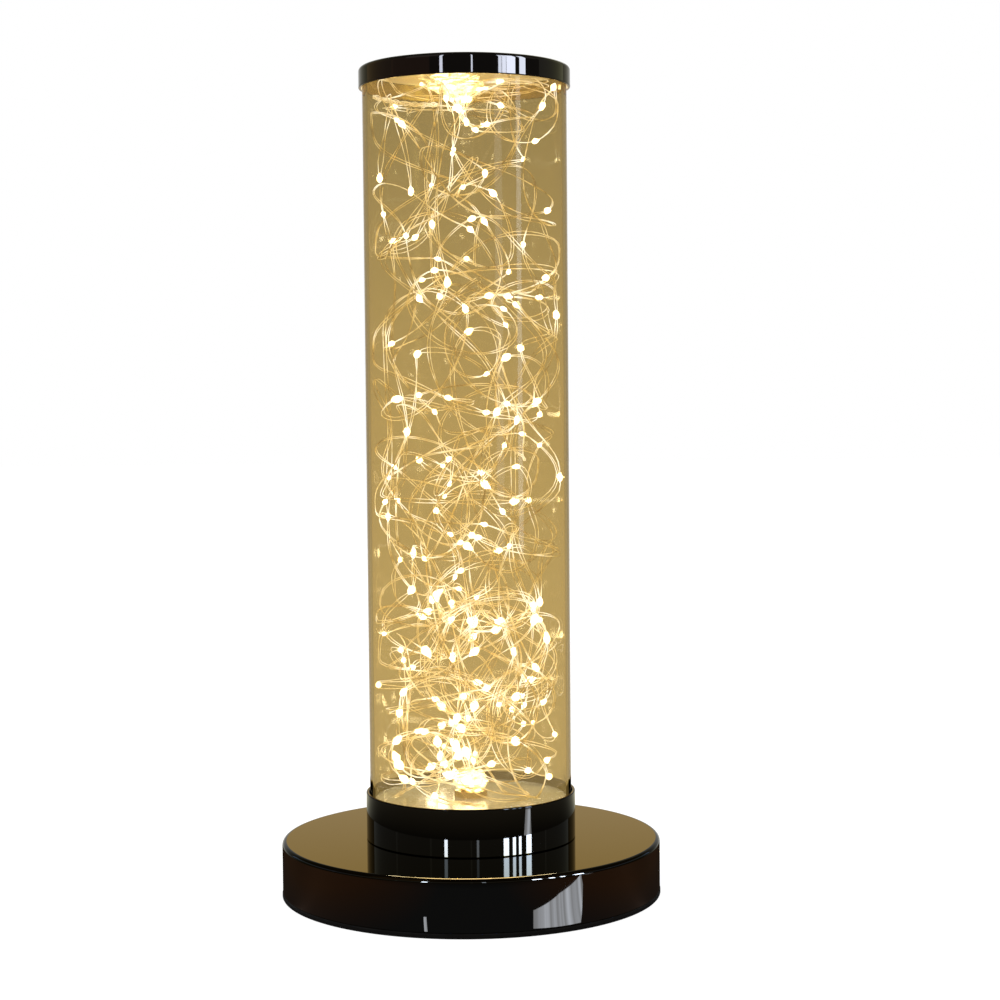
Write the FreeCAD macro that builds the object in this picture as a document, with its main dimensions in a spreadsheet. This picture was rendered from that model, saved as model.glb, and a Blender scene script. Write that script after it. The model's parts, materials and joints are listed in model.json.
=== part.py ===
import FreeCAD, Part
import math
import os

import Sketcher
from FreeCAD import Rotation, Vector

# Column table lamp: a clear tube full of string lights on a round metal base, with a collar and a cap.
# Millimetres. The origin is the centre of the foot pad's underside, +Z is up and the front faces -Y.
# The driving sizes are in the sheet named Sizes, and what follows from them is in the set named Levels.

doc = FreeCAD.newDocument("ColumnTableLamp")
sheet = doc.addObject("Spreadsheet::Sheet", "Sizes")
levels = doc.addObject("App::VarSet", "Levels")

SIZES = [
    # Foot, bottom plate and ballast
    ("foot_pad_height", 2.6),
    ("foot_pad_lip", 0.25),
    ("plate_thickness", 1.5),
    ("plate_clearance", 0.35),
    ("ballast_clearance", 2.4),
    ("ballast_height", 8.0),
    ("bay_margin", 5.0),
    # Base shell, and the posts that the bottom plate is fixed to
    ("base_radius", 93.75),
    ("shell_height", 25.1),
    ("shell_sheet", 1.5),
    ("shell_edge_radius", 2.0),
    ("post_wall_gap", 1.65),
    ("post_radius", 4.6),
    # Tube, collar and cap
    ("tube_radius", 50.0),
    ("tube_wall", 2.8),
    ("tube_length", 373.1),
    ("sleeve_clearance", 0.4),
    ("collar_wall", 1.5),
    ("collar_height", 23.2),
    ("cap_sheet", 1.4),
    ("cap_height", 9.9),
    ("cap_edge_radius", 1.9),
    ("tube_pad_height", 2.0),
    ("cap_pad_height", 1.0),
    ("pad_arc_degrees", 10.0),
    # Threaded nipple, and the stack that it clamps
    ("nipple_radius", 5.0),
    ("nipple_bore_radius", 3.5),
    ("nipple_end", 1.0),
    ("thread_clearance", 0.05),
    ("nut_radius", 8.1),
    ("nut_height", 3.0),
    ("spacer_radius", 7.5),
    ("floor_drop", 3.3),
    ("floor_sheet", 1.5),
    ("floor_clearance", 0.3),
    # Lumps of clear glue that hold the two ends of the light string
    ("lower_glue_radius", 7.0),
    ("lower_glue_height", 8.0),
    ("upper_glue_radius", 12.0),
    ("upper_glue_height", 11.0),
    ("upper_glue_offset", 4.0),
    # Light string
    ("string_clearance", 2.0),
    ("string_end_gap", 8.0),
    ("string_turns", 5.0),
    ("loop_wave", 7.0),
    ("loop_tilt", 15.0),
    ("beads_per_turn", 6.0),
    ("wire_width", 1.5),
    ("wire_thickness", 0.6),
    ("bead_radius", 1.5),
    ("bead_end_radius", 0.98),
    ("bead_length", 4.6),
    # Driver board, its parts and its leads
    ("board_length", 56.0),
    ("board_width", 40.0),
    ("board_thickness", 1.6),
    ("board_edge", 4.0),
    ("board_lift", 4.0),
    ("spacer_post_radius", 3.0),
    ("spacer_pin_radius", 1.4),
    ("spacer_pin_clearance", 0.2),
    ("transformer_length", 15.0),
    ("transformer_width", 13.0),
    ("transformer_height", 11.5),
    ("terminal_length", 7.0),
    ("terminal_width", 10.0),
    ("terminal_height", 8.5),
    ("terminal_wire_height", 4.8),
    ("lead_width", 2.2),
    ("lead_thickness", 1.1),
    # Push switch in the rear wall
    ("fitting_height", 15.2),
    ("fitting_clearance", 0.03),
    ("hole_clearance", 0.1),
    ("switch_barrel_radius", 6.0),
    ("switch_depth", 12.0),
    ("switch_bezel_radius", 7.4),
    ("switch_bezel_height", 1.4),
    ("switch_lip_height", 1.0),
    ("switch_back_height", 2.4),
    ("switch_nut_radius", 8.6),
    ("switch_nut_height", 2.2),
    ("button_radius", 3.7),
    ("button_rise", 3.0),
    ("button_chamfer", 0.5),
    ("button_flange", 0.6),
    ("button_flange_height", 1.4),
    ("button_clearance", 0.08),
    ("spring_radius", 2.6),
    ("spring_wire", 0.45),
    ("spring_turns", 3.0),
    ("blade_length", 5.0),
    ("blade_width", 2.0),
    ("blade_thickness", 0.6),
    ("blade_spacing", 3.2),
    # Cord grommet in the rear wall
    ("grommet_angle", 22.0),
    ("grommet_bore_radius", 3.1),
    ("grommet_neck_radius", 4.9),
    ("grommet_flange_radius", 6.6),
    ("grommet_flange_height", 1.7),
]
for row, (name, number) in enumerate(SIZES, start=1):
    sheet.set(f"A{row}", name)
    sheet.set(f"B{row}", str(number))
    sheet.setAlias(f"B{row}", name)
doc.recompute()

# Levels are heights above the table. The seats and fronts of the rear fittings are counted
# outwards from the lamp's axis, and a wide fitting meets the curved wall a little nearer to it.
DERIVED = [
    ("pad_radius", "Sizes.base_radius + Sizes.foot_pad_lip"),
    ("shell_bottom", "Sizes.foot_pad_height"),
    ("plate_top", "Levels.shell_bottom + Sizes.plate_thickness"),
    ("ballast_top", "Levels.plate_top + Sizes.ballast_height"),
    ("shell_top", "Levels.shell_bottom + Sizes.shell_height"),
    ("shell_ceiling", "Levels.shell_top - Sizes.shell_sheet"),
    ("shell_bore", "Sizes.base_radius - Sizes.shell_sheet"),
    ("post_height", "Levels.shell_ceiling - Levels.plate_top"),
    ("post_ring", "Levels.shell_bore - Sizes.post_wall_gap - Sizes.post_radius"),
    ("tube_bore", "Sizes.tube_radius - Sizes.tube_wall"),
    ("sleeve_radius", "Sizes.tube_radius + Sizes.sleeve_clearance"),
    ("collar_radius", "Levels.sleeve_radius + Sizes.collar_wall"),
    ("cap_radius", "Levels.sleeve_radius + Sizes.cap_sheet"),
    ("collar_floor", "Levels.shell_top + Sizes.collar_wall"),
    ("collar_top", "Levels.shell_top + Sizes.collar_height"),
    ("tube_bottom", "Levels.collar_floor + Sizes.tube_pad_height"),
    ("tube_top", "Levels.tube_bottom + Sizes.tube_length"),
    ("cap_ceiling", "Levels.tube_top + Sizes.cap_pad_height"),
    ("cap_top", "Levels.cap_ceiling + Sizes.cap_sheet"),
    ("cap_bottom", "Levels.cap_top - Sizes.cap_height"),
    ("floor_top", "Levels.collar_top - Sizes.floor_drop"),
    ("floor_bottom", "Levels.floor_top - Sizes.floor_sheet"),
    ("floor_radius", "Levels.tube_bore - Sizes.floor_clearance"),
    ("spacer_height", "Levels.floor_bottom - Levels.collar_floor"),
    ("nut_bore", "Sizes.nipple_radius + Sizes.thread_clearance"),
    ("shell_nut_bottom", "Levels.shell_ceiling - Sizes.nut_height"),
    ("nipple_bottom", "Levels.shell_nut_bottom - Sizes.nipple_end"),
    ("nipple_top", "Levels.floor_top + Sizes.nut_height + Sizes.nipple_end"),
    ("lower_glue_tip", "Levels.nipple_top + Sizes.lower_glue_height"),
    ("upper_glue_tip", "Levels.cap_ceiling - Sizes.upper_glue_height"),
    ("string_radius", "Levels.tube_bore - Sizes.string_clearance - Sizes.bead_radius"),
    ("string_bottom", "Levels.lower_glue_tip + Sizes.string_end_gap"),
    ("string_top", "Levels.upper_glue_tip - Sizes.string_end_gap"),
    ("bay_length", "Sizes.board_length + 2 * Sizes.bay_margin"),
    ("bay_width", "Sizes.board_width + 2 * Sizes.bay_margin"),
    ("board_bottom", "Levels.plate_top + Sizes.board_lift"),
    ("board_top", "Levels.board_bottom + Sizes.board_thickness"),
    ("pin_height", "Sizes.board_thickness + Sizes.spacer_pin_radius"),
    ("pin_hole", "Sizes.spacer_pin_radius + Sizes.spacer_pin_clearance"),
    ("terminal_wire", "Levels.board_top + Sizes.terminal_wire_height"),
    ("output_face", "Sizes.board_length / 2 - Sizes.board_edge - Sizes.terminal_length"),
    ("input_face", "Sizes.board_width / 2 - Sizes.board_edge / 2"),
    ("barrel_hole", "Sizes.switch_barrel_radius + Sizes.hole_clearance"),
    ("grommet_hole", "Sizes.grommet_neck_radius + Sizes.hole_clearance"),
    ("wall_front", "Sizes.base_radius + Sizes.fitting_clearance"),
    ("bezel_front", "Levels.wall_front + Sizes.switch_bezel_height"),
    ("lip_back", "Levels.bezel_front - Sizes.switch_lip_height"),
    ("barrel_back", "Levels.wall_front - Sizes.switch_depth"),
    ("ballast_limit", "min(Levels.barrel_back; Levels.post_ring - Sizes.post_radius)"),
    ("ballast_radius", "Levels.ballast_limit - Sizes.ballast_clearance"),
    ("switch_bore", "Sizes.button_radius + Sizes.button_flange"),
    ("switch_back_front", "Levels.barrel_back + Sizes.switch_back_height"),
    ("blade_tip", "Levels.barrel_back - Sizes.blade_length"),
    ("flange_front", "Levels.lip_back - Sizes.fitting_clearance"),
    ("flange_back", "Levels.flange_front - Sizes.button_flange_height"),
    ("button_front", "Levels.bezel_front + Sizes.button_rise"),
    ("nut_seat", "sqrt(Levels.shell_bore ^ 2 - Sizes.switch_nut_radius ^ 2) - Sizes.fitting_clearance"),
    (
        "grommet_seat",
        "sqrt(Levels.shell_bore ^ 2 - Sizes.grommet_flange_radius ^ 2) - Sizes.fitting_clearance",
    ),
]
for name, expression in DERIVED:
    levels.addProperty("App::PropertyFloat", name, "Derived")
    levels.setExpression(name, expression)
    doc.recompute()

POST_COUNT = 3
PAD_COUNT = 3
SPRING_SIDES = 8
SWITCH_ANGLE = "0"
GROMMET_ANGLE = "-Sizes.grommet_angle"

# Each shoulder of a glue lump: its share of the lump's radius, and how far along the lump it is.
GLUE_SHOULDERS = ((0.8, 0.0), (1.0, 0.3), (0.75, 0.75), (0.3, 1.0))
GLUE_SIDES = 8

# Each shoulder of a bead: how far along the bead it is, and whether it is the full one.
BEAD_SHOULDERS = ((0.0, False), (0.4, True), (1.0, False))
BEAD_SIDES = 6

# The string's loops swell and tilt a little out of step with its winding, so that no two are alike.
WAVE_RATE = 0.62
TILT_RATE = 1.13


def value(expression):
    """The number that an expression on the sizes and levels gives."""
    return float(sheet.evalExpression(expression))


def origin_feature(body, role):
    """One of the body's own origin planes or axes."""
    return next(f for f in body.Origin.OriginFeatures if f.Role == role)


def new_sketch(body, name, plane):
    sketch = body.newObject("Sketcher::SketchObject", name)
    sketch.AttachmentSupport = [(origin_feature(body, plane), "")]
    sketch.MapMode = "FlatFace"
    return sketch


def hold(sketch, index, end, across, up):
    """Hold one point of a sketch by its two distances from the sketch's origin."""
    for kind, expression, axis in (("DistanceX", across, -2), ("DistanceY", up, -1)):
        if expression == "0":
            sketch.addConstraint(Sketcher.Constraint("PointOnObject", index, end, axis))
            continue
        distance = Sketcher.Constraint(kind, -1, 1, index, end, value(expression))
        number = sketch.addConstraint(distance)
        sketch.setExpression(f"Constraints[{number}]", expression)


def add_outline(sketch, corners):
    """A closed outline of straight lines between corners, each given as two expressions."""
    spots = [Vector(value(across), value(up), 0) for across, up in corners]
    for spot, following in zip(spots, spots[1:] + spots[:1]):
        sketch.addGeometry(Part.LineSegment(spot, following), False)
    for index, (across, up) in enumerate(corners):
        following = (index + 1) % len(corners)
        sketch.addConstraint(Sketcher.Constraint("Coincident", index, 2, following, 1))
    for index, (across, up) in enumerate(corners):
        hold(sketch, index, 1, across, up)


def add_circle(sketch, across, up, radius):
    """A circle whose centre and radius are expressions."""
    centre = Vector(value(across), value(up), 0)
    index = sketch.addGeometry(Part.Circle(centre, Vector(0, 0, 1), value(radius)), False)
    hold(sketch, index, 3, across, up)
    number = sketch.addConstraint(Sketcher.Constraint("Radius", index, value(radius)))
    sketch.setExpression(f"Constraints[{number}]", radius)


def turned(label, profile, offset="0", degrees="360", cut_from=None):
    """Turn a profile of (radius, height) corners about an upright axis, as a new body or as a cut.

    The axis stands in the YZ plane, at the offset from the lamp's own.
    """
    body = cut_from or doc.addObject("PartDesign::Body", label)
    sketch = new_sketch(body, f"{label}_profile", "YZ_Plane")
    sketch.setExpression("AttachmentOffset.Base.x", offset)
    add_outline(sketch, profile)
    kind = "PartDesign::Groove" if cut_from else "PartDesign::Revolution"
    turn = body.newObject(kind, f"{label}_turn")
    turn.Profile = sketch
    turn.ReferenceAxis = (sketch, ["V_Axis"])
    turn.setExpression("Angle", degrees)
    body.Tip = turn
    doc.recompute()
    return body


def repeat_around(body, count):
    """Repeat the body's last feature around the lamp's axis."""
    repeated = body.Tip
    pattern = body.newObject("PartDesign::PolarPattern", f"{body.Label}_pattern")
    pattern.Originals = [repeated]
    pattern.Axis = (origin_feature(body, "Z_Axis"), [""])
    pattern.Angle = 360
    pattern.Occurrences = count
    body.Tip = pattern
    doc.recompute()


def rounded_corner(radius, height, size):
    """Profile points of an outer top corner, rounded in two facets."""
    short = f"{size} * (1 - cos(45))"
    return [
        (radius, f"{height} - {size}"),
        (f"{radius} - {short}", f"{height} - {short}"),
        (f"{radius} - {size}", height),
    ]


def pocket(body, name, sketch, length, forwards=False):
    """Cut a sketch away over a length, behind its plane or in front of it, and insist on a cut."""
    before = body.Tip.Shape.Volume
    cutter = body.newObject("PartDesign::Pocket", name)
    cutter.Profile = sketch
    cutter.setExpression("Length", length)
    cutter.Reversed = forwards
    body.Tip = cutter
    doc.recompute()
    if cutter.Shape.Volume >= before:
        raise RuntimeError(f"{name} cuts nothing")


def wall_hole(body, name, radius, angle):
    """A round hole through the rear wall, drilled outwards from the lamp's axis."""
    sketch = new_sketch(body, f"{name}_sketch", "XZ_Plane")
    turn = f"create(<<rotation>>; 0; -({angle}); 0)"
    sketch.setExpression("AttachmentOffset", f"create(<<placement>>; create(<<vector>>; 0; 0; 0); {turn})")
    add_circle(sketch, "0", "Sizes.fitting_height", radius)
    pocket(body, name, sketch, "Sizes.base_radius + Sizes.shell_sheet")


def point_through_wall(part, angle):
    """Lay a part that was made along Z so that its Z points out through the rear wall."""
    place = "create(<<vector>>; 0; 0; Sizes.fitting_height)"
    turn = f"create(<<rotation>>; -({angle}); 0; -90)"
    part.setExpression("Placement", f"create(<<placement>>; {place}; {turn})")


def upright(kind, name, radius, height, bottom):
    """A cylinder or a six-sided prism that stands on Z."""
    rod = doc.addObject(kind, name)
    rod.setExpression("Circumradius" if kind == PRISM else "Radius", radius)
    rod.setExpression("Height", height)
    rod.setExpression("Placement.Base.z", bottom)
    return rod


PRISM = "Part::Prism"
CYLINDER = "Part::Cylinder"


def block(name, size, centre, bottom):
    """A box from its three sizes, the x and y of its centre, and the height of its underside."""
    box = doc.addObject("Part::Box", name)
    for side, expression in zip(("Length", "Width", "Height"), size):
        box.setExpression(side, expression)
    for axis, expression, side in zip("xy", centre, size):
        box.setExpression(f"Placement.Base.{axis}", f"{expression} - ({side}) / 2")
    box.setExpression("Placement.Base.z", bottom)
    return box


def combine(kind, label, base, tool):
    """One shape less another, or both fused."""
    result = doc.addObject(kind, label)
    result.Base = base
    result.Tool = tool
    return result


def group(label, members):
    """Separate solids of one kind that share a node."""
    compound = doc.addObject("Part::Compound", label)
    compound.Links = members
    return compound


def nut(label, radius, height, bottom, bore):
    """A hexagonal nut or spacer."""
    blank = upright(PRISM, f"{label}_blank", radius, height, bottom)
    drill = upright(CYLINDER, f"{label}_bore", bore, height, bottom)
    return combine("Part::Cut", label, blank, drill)


def feature(label, shape):
    part = doc.addObject("Part::Feature", label)
    part.Shape = shape
    return part


def solid_of_rings(rings):
    """A closed solid of flat faces through rings of points, each with as many points as the next."""
    outlines = [rings[0], rings[-1]]
    for lower, upper in zip(rings, rings[1:]):
        for i in range(len(lower)):
            outlines.append([lower[i - 1], lower[i], upper[i]])
            outlines.append([lower[i - 1], upper[i], upper[i - 1]])
    shell = Part.makeShell([Part.Face(Part.makePolygon(line + line[:1])) for line in outlines])
    shell.sewShape()
    solid = Part.makeSolid(shell)
    if solid.Volume < 0:
        solid.reverse()
    return solid.removeSplitter()


def ring(centre, along, side, radius, count):
    """Corners of a regular polygon that is square to a direction."""
    corners = []
    for number in range(count):
        turned_by = Rotation(along, 360 * number / count)
        corners.append(centre + turned_by.multVec(side) * radius)
    return corners


def bend(start, along, finish):
    """Centre, axis, angle and radius of the arc that leaves start along a direction and ends at finish."""
    chord = finish - start
    axis = along.cross(chord)
    axis.normalize()
    inwards = axis.cross(along)
    radius = chord.dot(chord) / (2 * chord.dot(inwards))
    angle = 2 * math.atan2(chord.dot(inwards), chord.dot(along))
    return start + inwards * radius, axis, angle, radius


def flat_section(centre, along, side, width, thickness):
    """Corners of a flat pair of wires cut square, and its width's direction, square to the wires."""
    side = side - along * side.dot(along)
    side.normalize()
    across, through = side * (width / 2), along.cross(side) * (thickness / 2)
    corners = [centre + across + through, centre - across + through]
    corners += [centre - across - through, centre + across - through]
    return corners, side


def wire_pair(start, along, finish, along_finish, side, width, thickness):
    """A flat pair of wires on two tangent arcs, from one place and direction to another.

    Gives the solid, the direction of its width at the far end, its length and its smaller radius.
    """
    chord = finish - start
    both = along + along_finish
    spread = 2 * (1 - along.dot(along_finish))
    root = math.sqrt(chord.dot(both) ** 2 + spread * chord.dot(chord))
    reach = chord.dot(chord) / (root + chord.dot(both))
    middle = (start + along * reach + finish - along_finish * reach) * 0.5
    pieces, length, tightest = [], 0, math.inf
    here = start
    for there in (middle, finish):
        centre, axis, angle, radius = bend(here, along, there)
        corners, side = flat_section(here, along, side, width, thickness)
        section = Part.Face(Part.makePolygon(corners + corners[:1]))
        pieces.append(section.revolve(centre, axis, math.degrees(angle)))
        turn = Rotation(axis, math.degrees(angle))
        along, side, here = turn.multVec(along), turn.multVec(side), there
        length, tightest = length + radius * angle, min(tightest, radius)
    return pieces[0].fuse(pieces[1]).Solids[0], side, length, tightest


def foot():
    """EVA pad over the whole underside, and the plate above it that closes the shell."""
    turned(
        "foot_pad",
        [
            ("0", "0"),
            ("Levels.pad_radius", "0"),
            ("Levels.pad_radius", "Levels.shell_bottom"),
            ("0", "Levels.shell_bottom"),
        ],
    )
    plate_radius = "Levels.shell_bore - Sizes.plate_clearance"
    turned(
        "bottom_plate",
        [
            ("0", "Levels.shell_bottom"),
            (plate_radius, "Levels.shell_bottom"),
            (plate_radius, "Levels.plate_top"),
            ("0", "Levels.plate_top"),
        ],
    )


def ballast():
    """Cast iron disc on the bottom plate, with an open bay for the driver board."""
    body = turned(
        "ballast",
        [
            ("0", "Levels.plate_top"),
            ("Levels.ballast_radius", "Levels.plate_top"),
            ("Levels.ballast_radius", "Levels.ballast_top"),
            ("0", "Levels.ballast_top"),
        ],
    )
    sketch = new_sketch(body, "driver_bay_sketch", "XY_Plane")
    corners = []
    for x_sign, y_sign in ((-1, -1), (1, -1), (1, 1), (-1, 1)):
        corners.append((f"{x_sign} * Levels.bay_length / 2", f"{y_sign} * Levels.bay_width / 2"))
    add_outline(sketch, corners)
    pocket(body, "driver_bay", sketch, "Levels.ballast_top", forwards=True)


def base_shell():
    """Spun steel shell, open below, and the hexagonal posts welded inside it."""
    body = turned(
        "base_shell",
        [
            ("Levels.nut_bore", "Levels.shell_ceiling"),
            ("Levels.shell_bore", "Levels.shell_ceiling"),
            ("Levels.shell_bore", "Levels.shell_bottom"),
            ("Sizes.base_radius", "Levels.shell_bottom"),
            *rounded_corner("Sizes.base_radius", "Levels.shell_top", "Sizes.shell_edge_radius"),
            ("Levels.nut_bore", "Levels.shell_top"),
        ],
    )
    wall_hole(body, "switch_hole", "Levels.barrel_hole", SWITCH_ANGLE)
    wall_hole(body, "grommet_wall_hole", "Levels.grommet_hole", GROMMET_ANGLE)
    posts = []
    for number in range(POST_COUNT):
        post = upright(
            PRISM, f"base_post_{number}", "Sizes.post_radius", "Levels.post_height", "Levels.plate_top"
        )
        out = "create(<<vector>>; 0; -Levels.post_ring; Levels.plate_top)"
        around = f"create(<<rotation>>; {360 / POST_COUNT * number}; 0; 0)"
        turn = f"create(<<placement>>; create(<<vector>>; 0; 0; 0); {around})"
        upright_place = f"create(<<placement>>; {out}; create(<<rotation>>; 0; 0; 0))"
        post.setExpression("Placement", f"{turn} * {upright_place}")
        posts.append(post)
    group("base_posts", posts)


def collar():
    """Turned cup that the tube stands in."""
    turned(
        "collar",
        [
            ("Levels.nut_bore", "Levels.shell_top"),
            ("Levels.collar_radius", "Levels.shell_top"),
            ("Levels.collar_radius", "Levels.collar_top"),
            ("Levels.sleeve_radius", "Levels.collar_top"),
            ("Levels.sleeve_radius", "Levels.collar_floor"),
            ("Levels.nut_bore", "Levels.collar_floor"),
        ],
    )


def tube_wall(bottom, top):
    """Profile of the tube's wall between two levels."""
    return [
        ("Levels.tube_bore", bottom),
        ("Sizes.tube_radius", bottom),
        ("Sizes.tube_radius", top),
        ("Levels.tube_bore", top),
    ]


def tube_and_cap():
    """Clear tube between soft pads, and the spun cap that closes it."""
    turned("tube", tube_wall("Levels.tube_bottom", "Levels.tube_top"))
    for label, bottom, top in (
        ("tube_pads", "Levels.collar_floor", "Levels.tube_bottom"),
        ("cap_pads", "Levels.tube_top", "Levels.cap_ceiling"),
    ):
        pads = turned(label, tube_wall(bottom, top), degrees="Sizes.pad_arc_degrees")
        repeat_around(pads, PAD_COUNT)
    turned(
        "top_cap",
        [
            ("0", "Levels.cap_ceiling"),
            ("Levels.sleeve_radius", "Levels.cap_ceiling"),
            ("Levels.sleeve_radius", "Levels.cap_bottom"),
            ("Levels.cap_radius", "Levels.cap_bottom"),
            *rounded_corner("Levels.cap_radius", "Levels.cap_top", "Sizes.cap_edge_radius"),
            ("0", "Levels.cap_top"),
        ],
    )


def clamped_stack():
    """Threaded nipple and nuts that clamp shell, collar, spacer and tube floor together."""
    turned(
        "nipple",
        [
            ("Sizes.nipple_bore_radius", "Levels.nipple_bottom"),
            ("Sizes.nipple_radius", "Levels.nipple_bottom"),
            ("Sizes.nipple_radius", "Levels.nipple_top"),
            ("Sizes.nipple_bore_radius", "Levels.nipple_top"),
        ],
    )
    turned(
        "tube_floor",
        [
            ("Levels.nut_bore", "Levels.floor_bottom"),
            ("Levels.floor_radius", "Levels.floor_bottom"),
            ("Levels.floor_radius", "Levels.floor_top"),
            ("Levels.nut_bore", "Levels.floor_top"),
        ],
    )
    for label, radius, height, bottom in (
        ("shell_nut", "Sizes.nut_radius", "Sizes.nut_height", "Levels.shell_nut_bottom"),
        ("floor_spacer", "Sizes.spacer_radius", "Levels.spacer_height", "Levels.collar_floor"),
        ("floor_nut", "Sizes.nut_radius", "Sizes.nut_height", "Levels.floor_top"),
    ):
        nut(label, radius, height, bottom, "Levels.nut_bore")


def glue_lump(label, root, away):
    """Faceted lump of clear glue that stands on its root."""
    radius, height = value(f"Sizes.{label}_radius"), value(f"Sizes.{label}_height")
    rings = []
    for share, lift in GLUE_SHOULDERS:
        centre = root + away * (height * lift)
        rings.append(ring(centre, away, Vector(1, 0, 0), radius * share, GLUE_SIDES))
    feature(label, solid_of_rings(rings))


def glue():
    """The lumps that hold the light string's ends: one on the nipple, one under the cap."""
    glue_lump("lower_glue", Vector(0, 0, value("Levels.nipple_top")), Vector(0, 0, 1))
    root = Vector(-value("Sizes.upper_glue_offset"), 0, value("Levels.cap_ceiling"))
    glue_lump("upper_glue", root, Vector(0, 0, -1))


def station(turned_by):
    """Place on the light string after a given angle of winding."""
    wave, tilt = value("Sizes.loop_wave"), value("Sizes.loop_tilt")
    lowest, highest = value("Levels.string_bottom") + tilt, value("Levels.string_top") - tilt
    share = turned_by / (2 * math.pi * value("Sizes.string_turns"))
    radius = value("Levels.string_radius") - wave * (1 - math.sin(WAVE_RATE * turned_by))
    height = lowest + (highest - lowest) * share + tilt * math.sin(TILT_RATE * turned_by)
    return Vector(radius * math.cos(turned_by), radius * math.sin(turned_by), height)


def heading(turned_by, step=1e-4):
    """Direction of the light string at that angle of winding."""
    ahead = station(turned_by + step) - station(turned_by - step)
    ahead.normalize()
    return ahead


def bead(back, along, side):
    """Drop of clear resin over one lamp chip, fullest nearer its back end."""
    rings = []
    for share, full in BEAD_SHOULDERS:
        radius = value("Sizes.bead_radius" if full else "Sizes.bead_end_radius")
        centre = back + along * (value("Sizes.bead_length") * share)
        rings.append(ring(centre, along, side, radius, BEAD_SIDES))
    return solid_of_rings(rings)


def light_string():
    """A flat pair of fine wires that runs from bead to bead in loose loops, from glue to glue.

    The wires leave and reach the glue in tangent arcs, and are drawn straight from bead to bead.
    """
    section = value("Sizes.wire_width"), value("Sizes.wire_thickness")
    length = value("Sizes.bead_length")
    per_turn = round(value("Sizes.beads_per_turn"))
    count = round(value("Sizes.string_turns") * per_turn) + 1
    up = Vector(0, 0, 1)
    root = Vector(0, 0, value("Levels.lower_glue_tip"))
    finish = Vector(-value("Sizes.upper_glue_offset"), 0, value("Levels.upper_glue_tip"))
    along = heading(0)
    back = station(0) - along * (length / 2)
    span, side, total, tightest = wire_pair(root, up, back, along, Vector(0, 1, 0), *section)
    spans, beads = [span], [bead(back, along, side)]
    for number in range(1, count):
        near, side = flat_section(back + along * length, along, side, *section)
        front = back + along * length
        angle = 2 * math.pi * number / per_turn
        along = heading(angle)
        back = station(angle) - along * (length / 2)
        far, side = flat_section(back, along, side, *section)
        spans.append(solid_of_rings([near, far]))
        beads.append(bead(back, along, side))
        total += front.distanceToPoint(back) + length
    span, side, run, radius = wire_pair(back + along * length, along, finish, up, side, *section)
    spans.append(span)
    feature("string_wire", Part.makeCompound(spans))
    feature("led_beads", Part.makeCompound(beads))
    tightest = min(tightest, radius)
    print(f"light string {total + run:.0f} mm, {count} beads, tightest bend {tightest:.1f} mm")


def board_and_spacers():
    """Driver board on four snap-in spacers in the ballast's bay."""
    spacers, holes = [], []
    for number, (x_sign, y_sign) in enumerate(((1, 1), (-1, 1), (-1, -1), (1, -1))):
        post = upright(
            PRISM, f"spacer_post_{number}", "Sizes.spacer_post_radius", "Sizes.board_lift", "Levels.plate_top"
        )
        pin = upright(
            PRISM, f"spacer_pin_{number}", "Sizes.spacer_pin_radius", "Levels.pin_height", "Levels.board_bottom"
        )
        hole = upright(
            PRISM, f"pin_hole_{number}", "Levels.pin_hole", "Sizes.board_thickness", "Levels.board_bottom"
        )
        for part in (post, pin, hole):
            part.setExpression("Placement.Base.x", f"{x_sign} * (Sizes.board_length / 2 - Sizes.board_edge)")
            part.setExpression("Placement.Base.y", f"{y_sign} * (Sizes.board_width / 2 - Sizes.board_edge)")
        spacers.append(combine("Part::Fuse", f"spacer_{number}", post, pin))
        holes.append(hole)
    blank = block(
        "board_blank",
        ("Sizes.board_length", "Sizes.board_width", "Sizes.board_thickness"),
        ("0", "0"),
        "Levels.board_bottom",
    )
    combine("Part::Cut", "driver_board", blank, group("pin_holes", holes))
    group("board_spacers", spacers)


def board_parts():
    """Transformer and the two terminal blocks on the driver board."""
    block(
        "transformer",
        ("Sizes.transformer_length", "Sizes.transformer_width", "Sizes.transformer_height"),
        ("-Sizes.board_length / 4", "Sizes.board_width / 5"),
        "Levels.board_top",
    )
    output = block(
        "output_terminal",
        ("Sizes.terminal_length", "Sizes.terminal_width", "Sizes.terminal_height"),
        ("Levels.output_face + Sizes.terminal_length / 2", "0"),
        "Levels.board_top",
    )
    incoming = block(
        "input_terminal",
        ("Sizes.terminal_width", "Sizes.terminal_length", "Sizes.terminal_height"),
        ("0", "Levels.input_face - Sizes.terminal_length / 2"),
        "Levels.board_top",
    )
    group("terminal_blocks", [output, incoming])


def leads():
    """Lead from the driver up the nipple to the light string, and the lead to the switch."""
    section = value("Sizes.lead_width"), value("Sizes.lead_thickness")
    up, rearwards, sideways = Vector(0, 0, 1), Vector(0, 1, 0), Vector(1, 0, 0)
    wire_level = value("Levels.terminal_wire")
    mouth = Vector(0, 0, value("Levels.nipple_bottom"))
    start = Vector(value("Levels.output_face"), 0, wire_level)
    curve, side, run, radius = wire_pair(start, -sideways, mouth, up, rearwards, *section)
    climb = value("Levels.nipple_top - Levels.nipple_bottom")
    corners, side = flat_section(mouth, up, side, *section)
    riser = Part.Face(Part.makePolygon(corners + corners[:1])).extrude(up * climb)
    feature("feed_lead", curve.fuse(riser).removeSplitter().Solids[0])
    print(f"feed lead {run + climb:.0f} mm, tightest bend {radius:.1f} mm")
    start = Vector(0, value("Levels.input_face"), wire_level)
    blades = Vector(0, value("Levels.blade_tip"), value("Sizes.fitting_height"))
    curve, side, run, radius = wire_pair(start, rearwards, blades, rearwards, sideways, *section)
    feature("switch_lead", curve)
    print(f"switch lead {run:.0f} mm, tightest bend {radius:.1f} mm")


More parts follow.
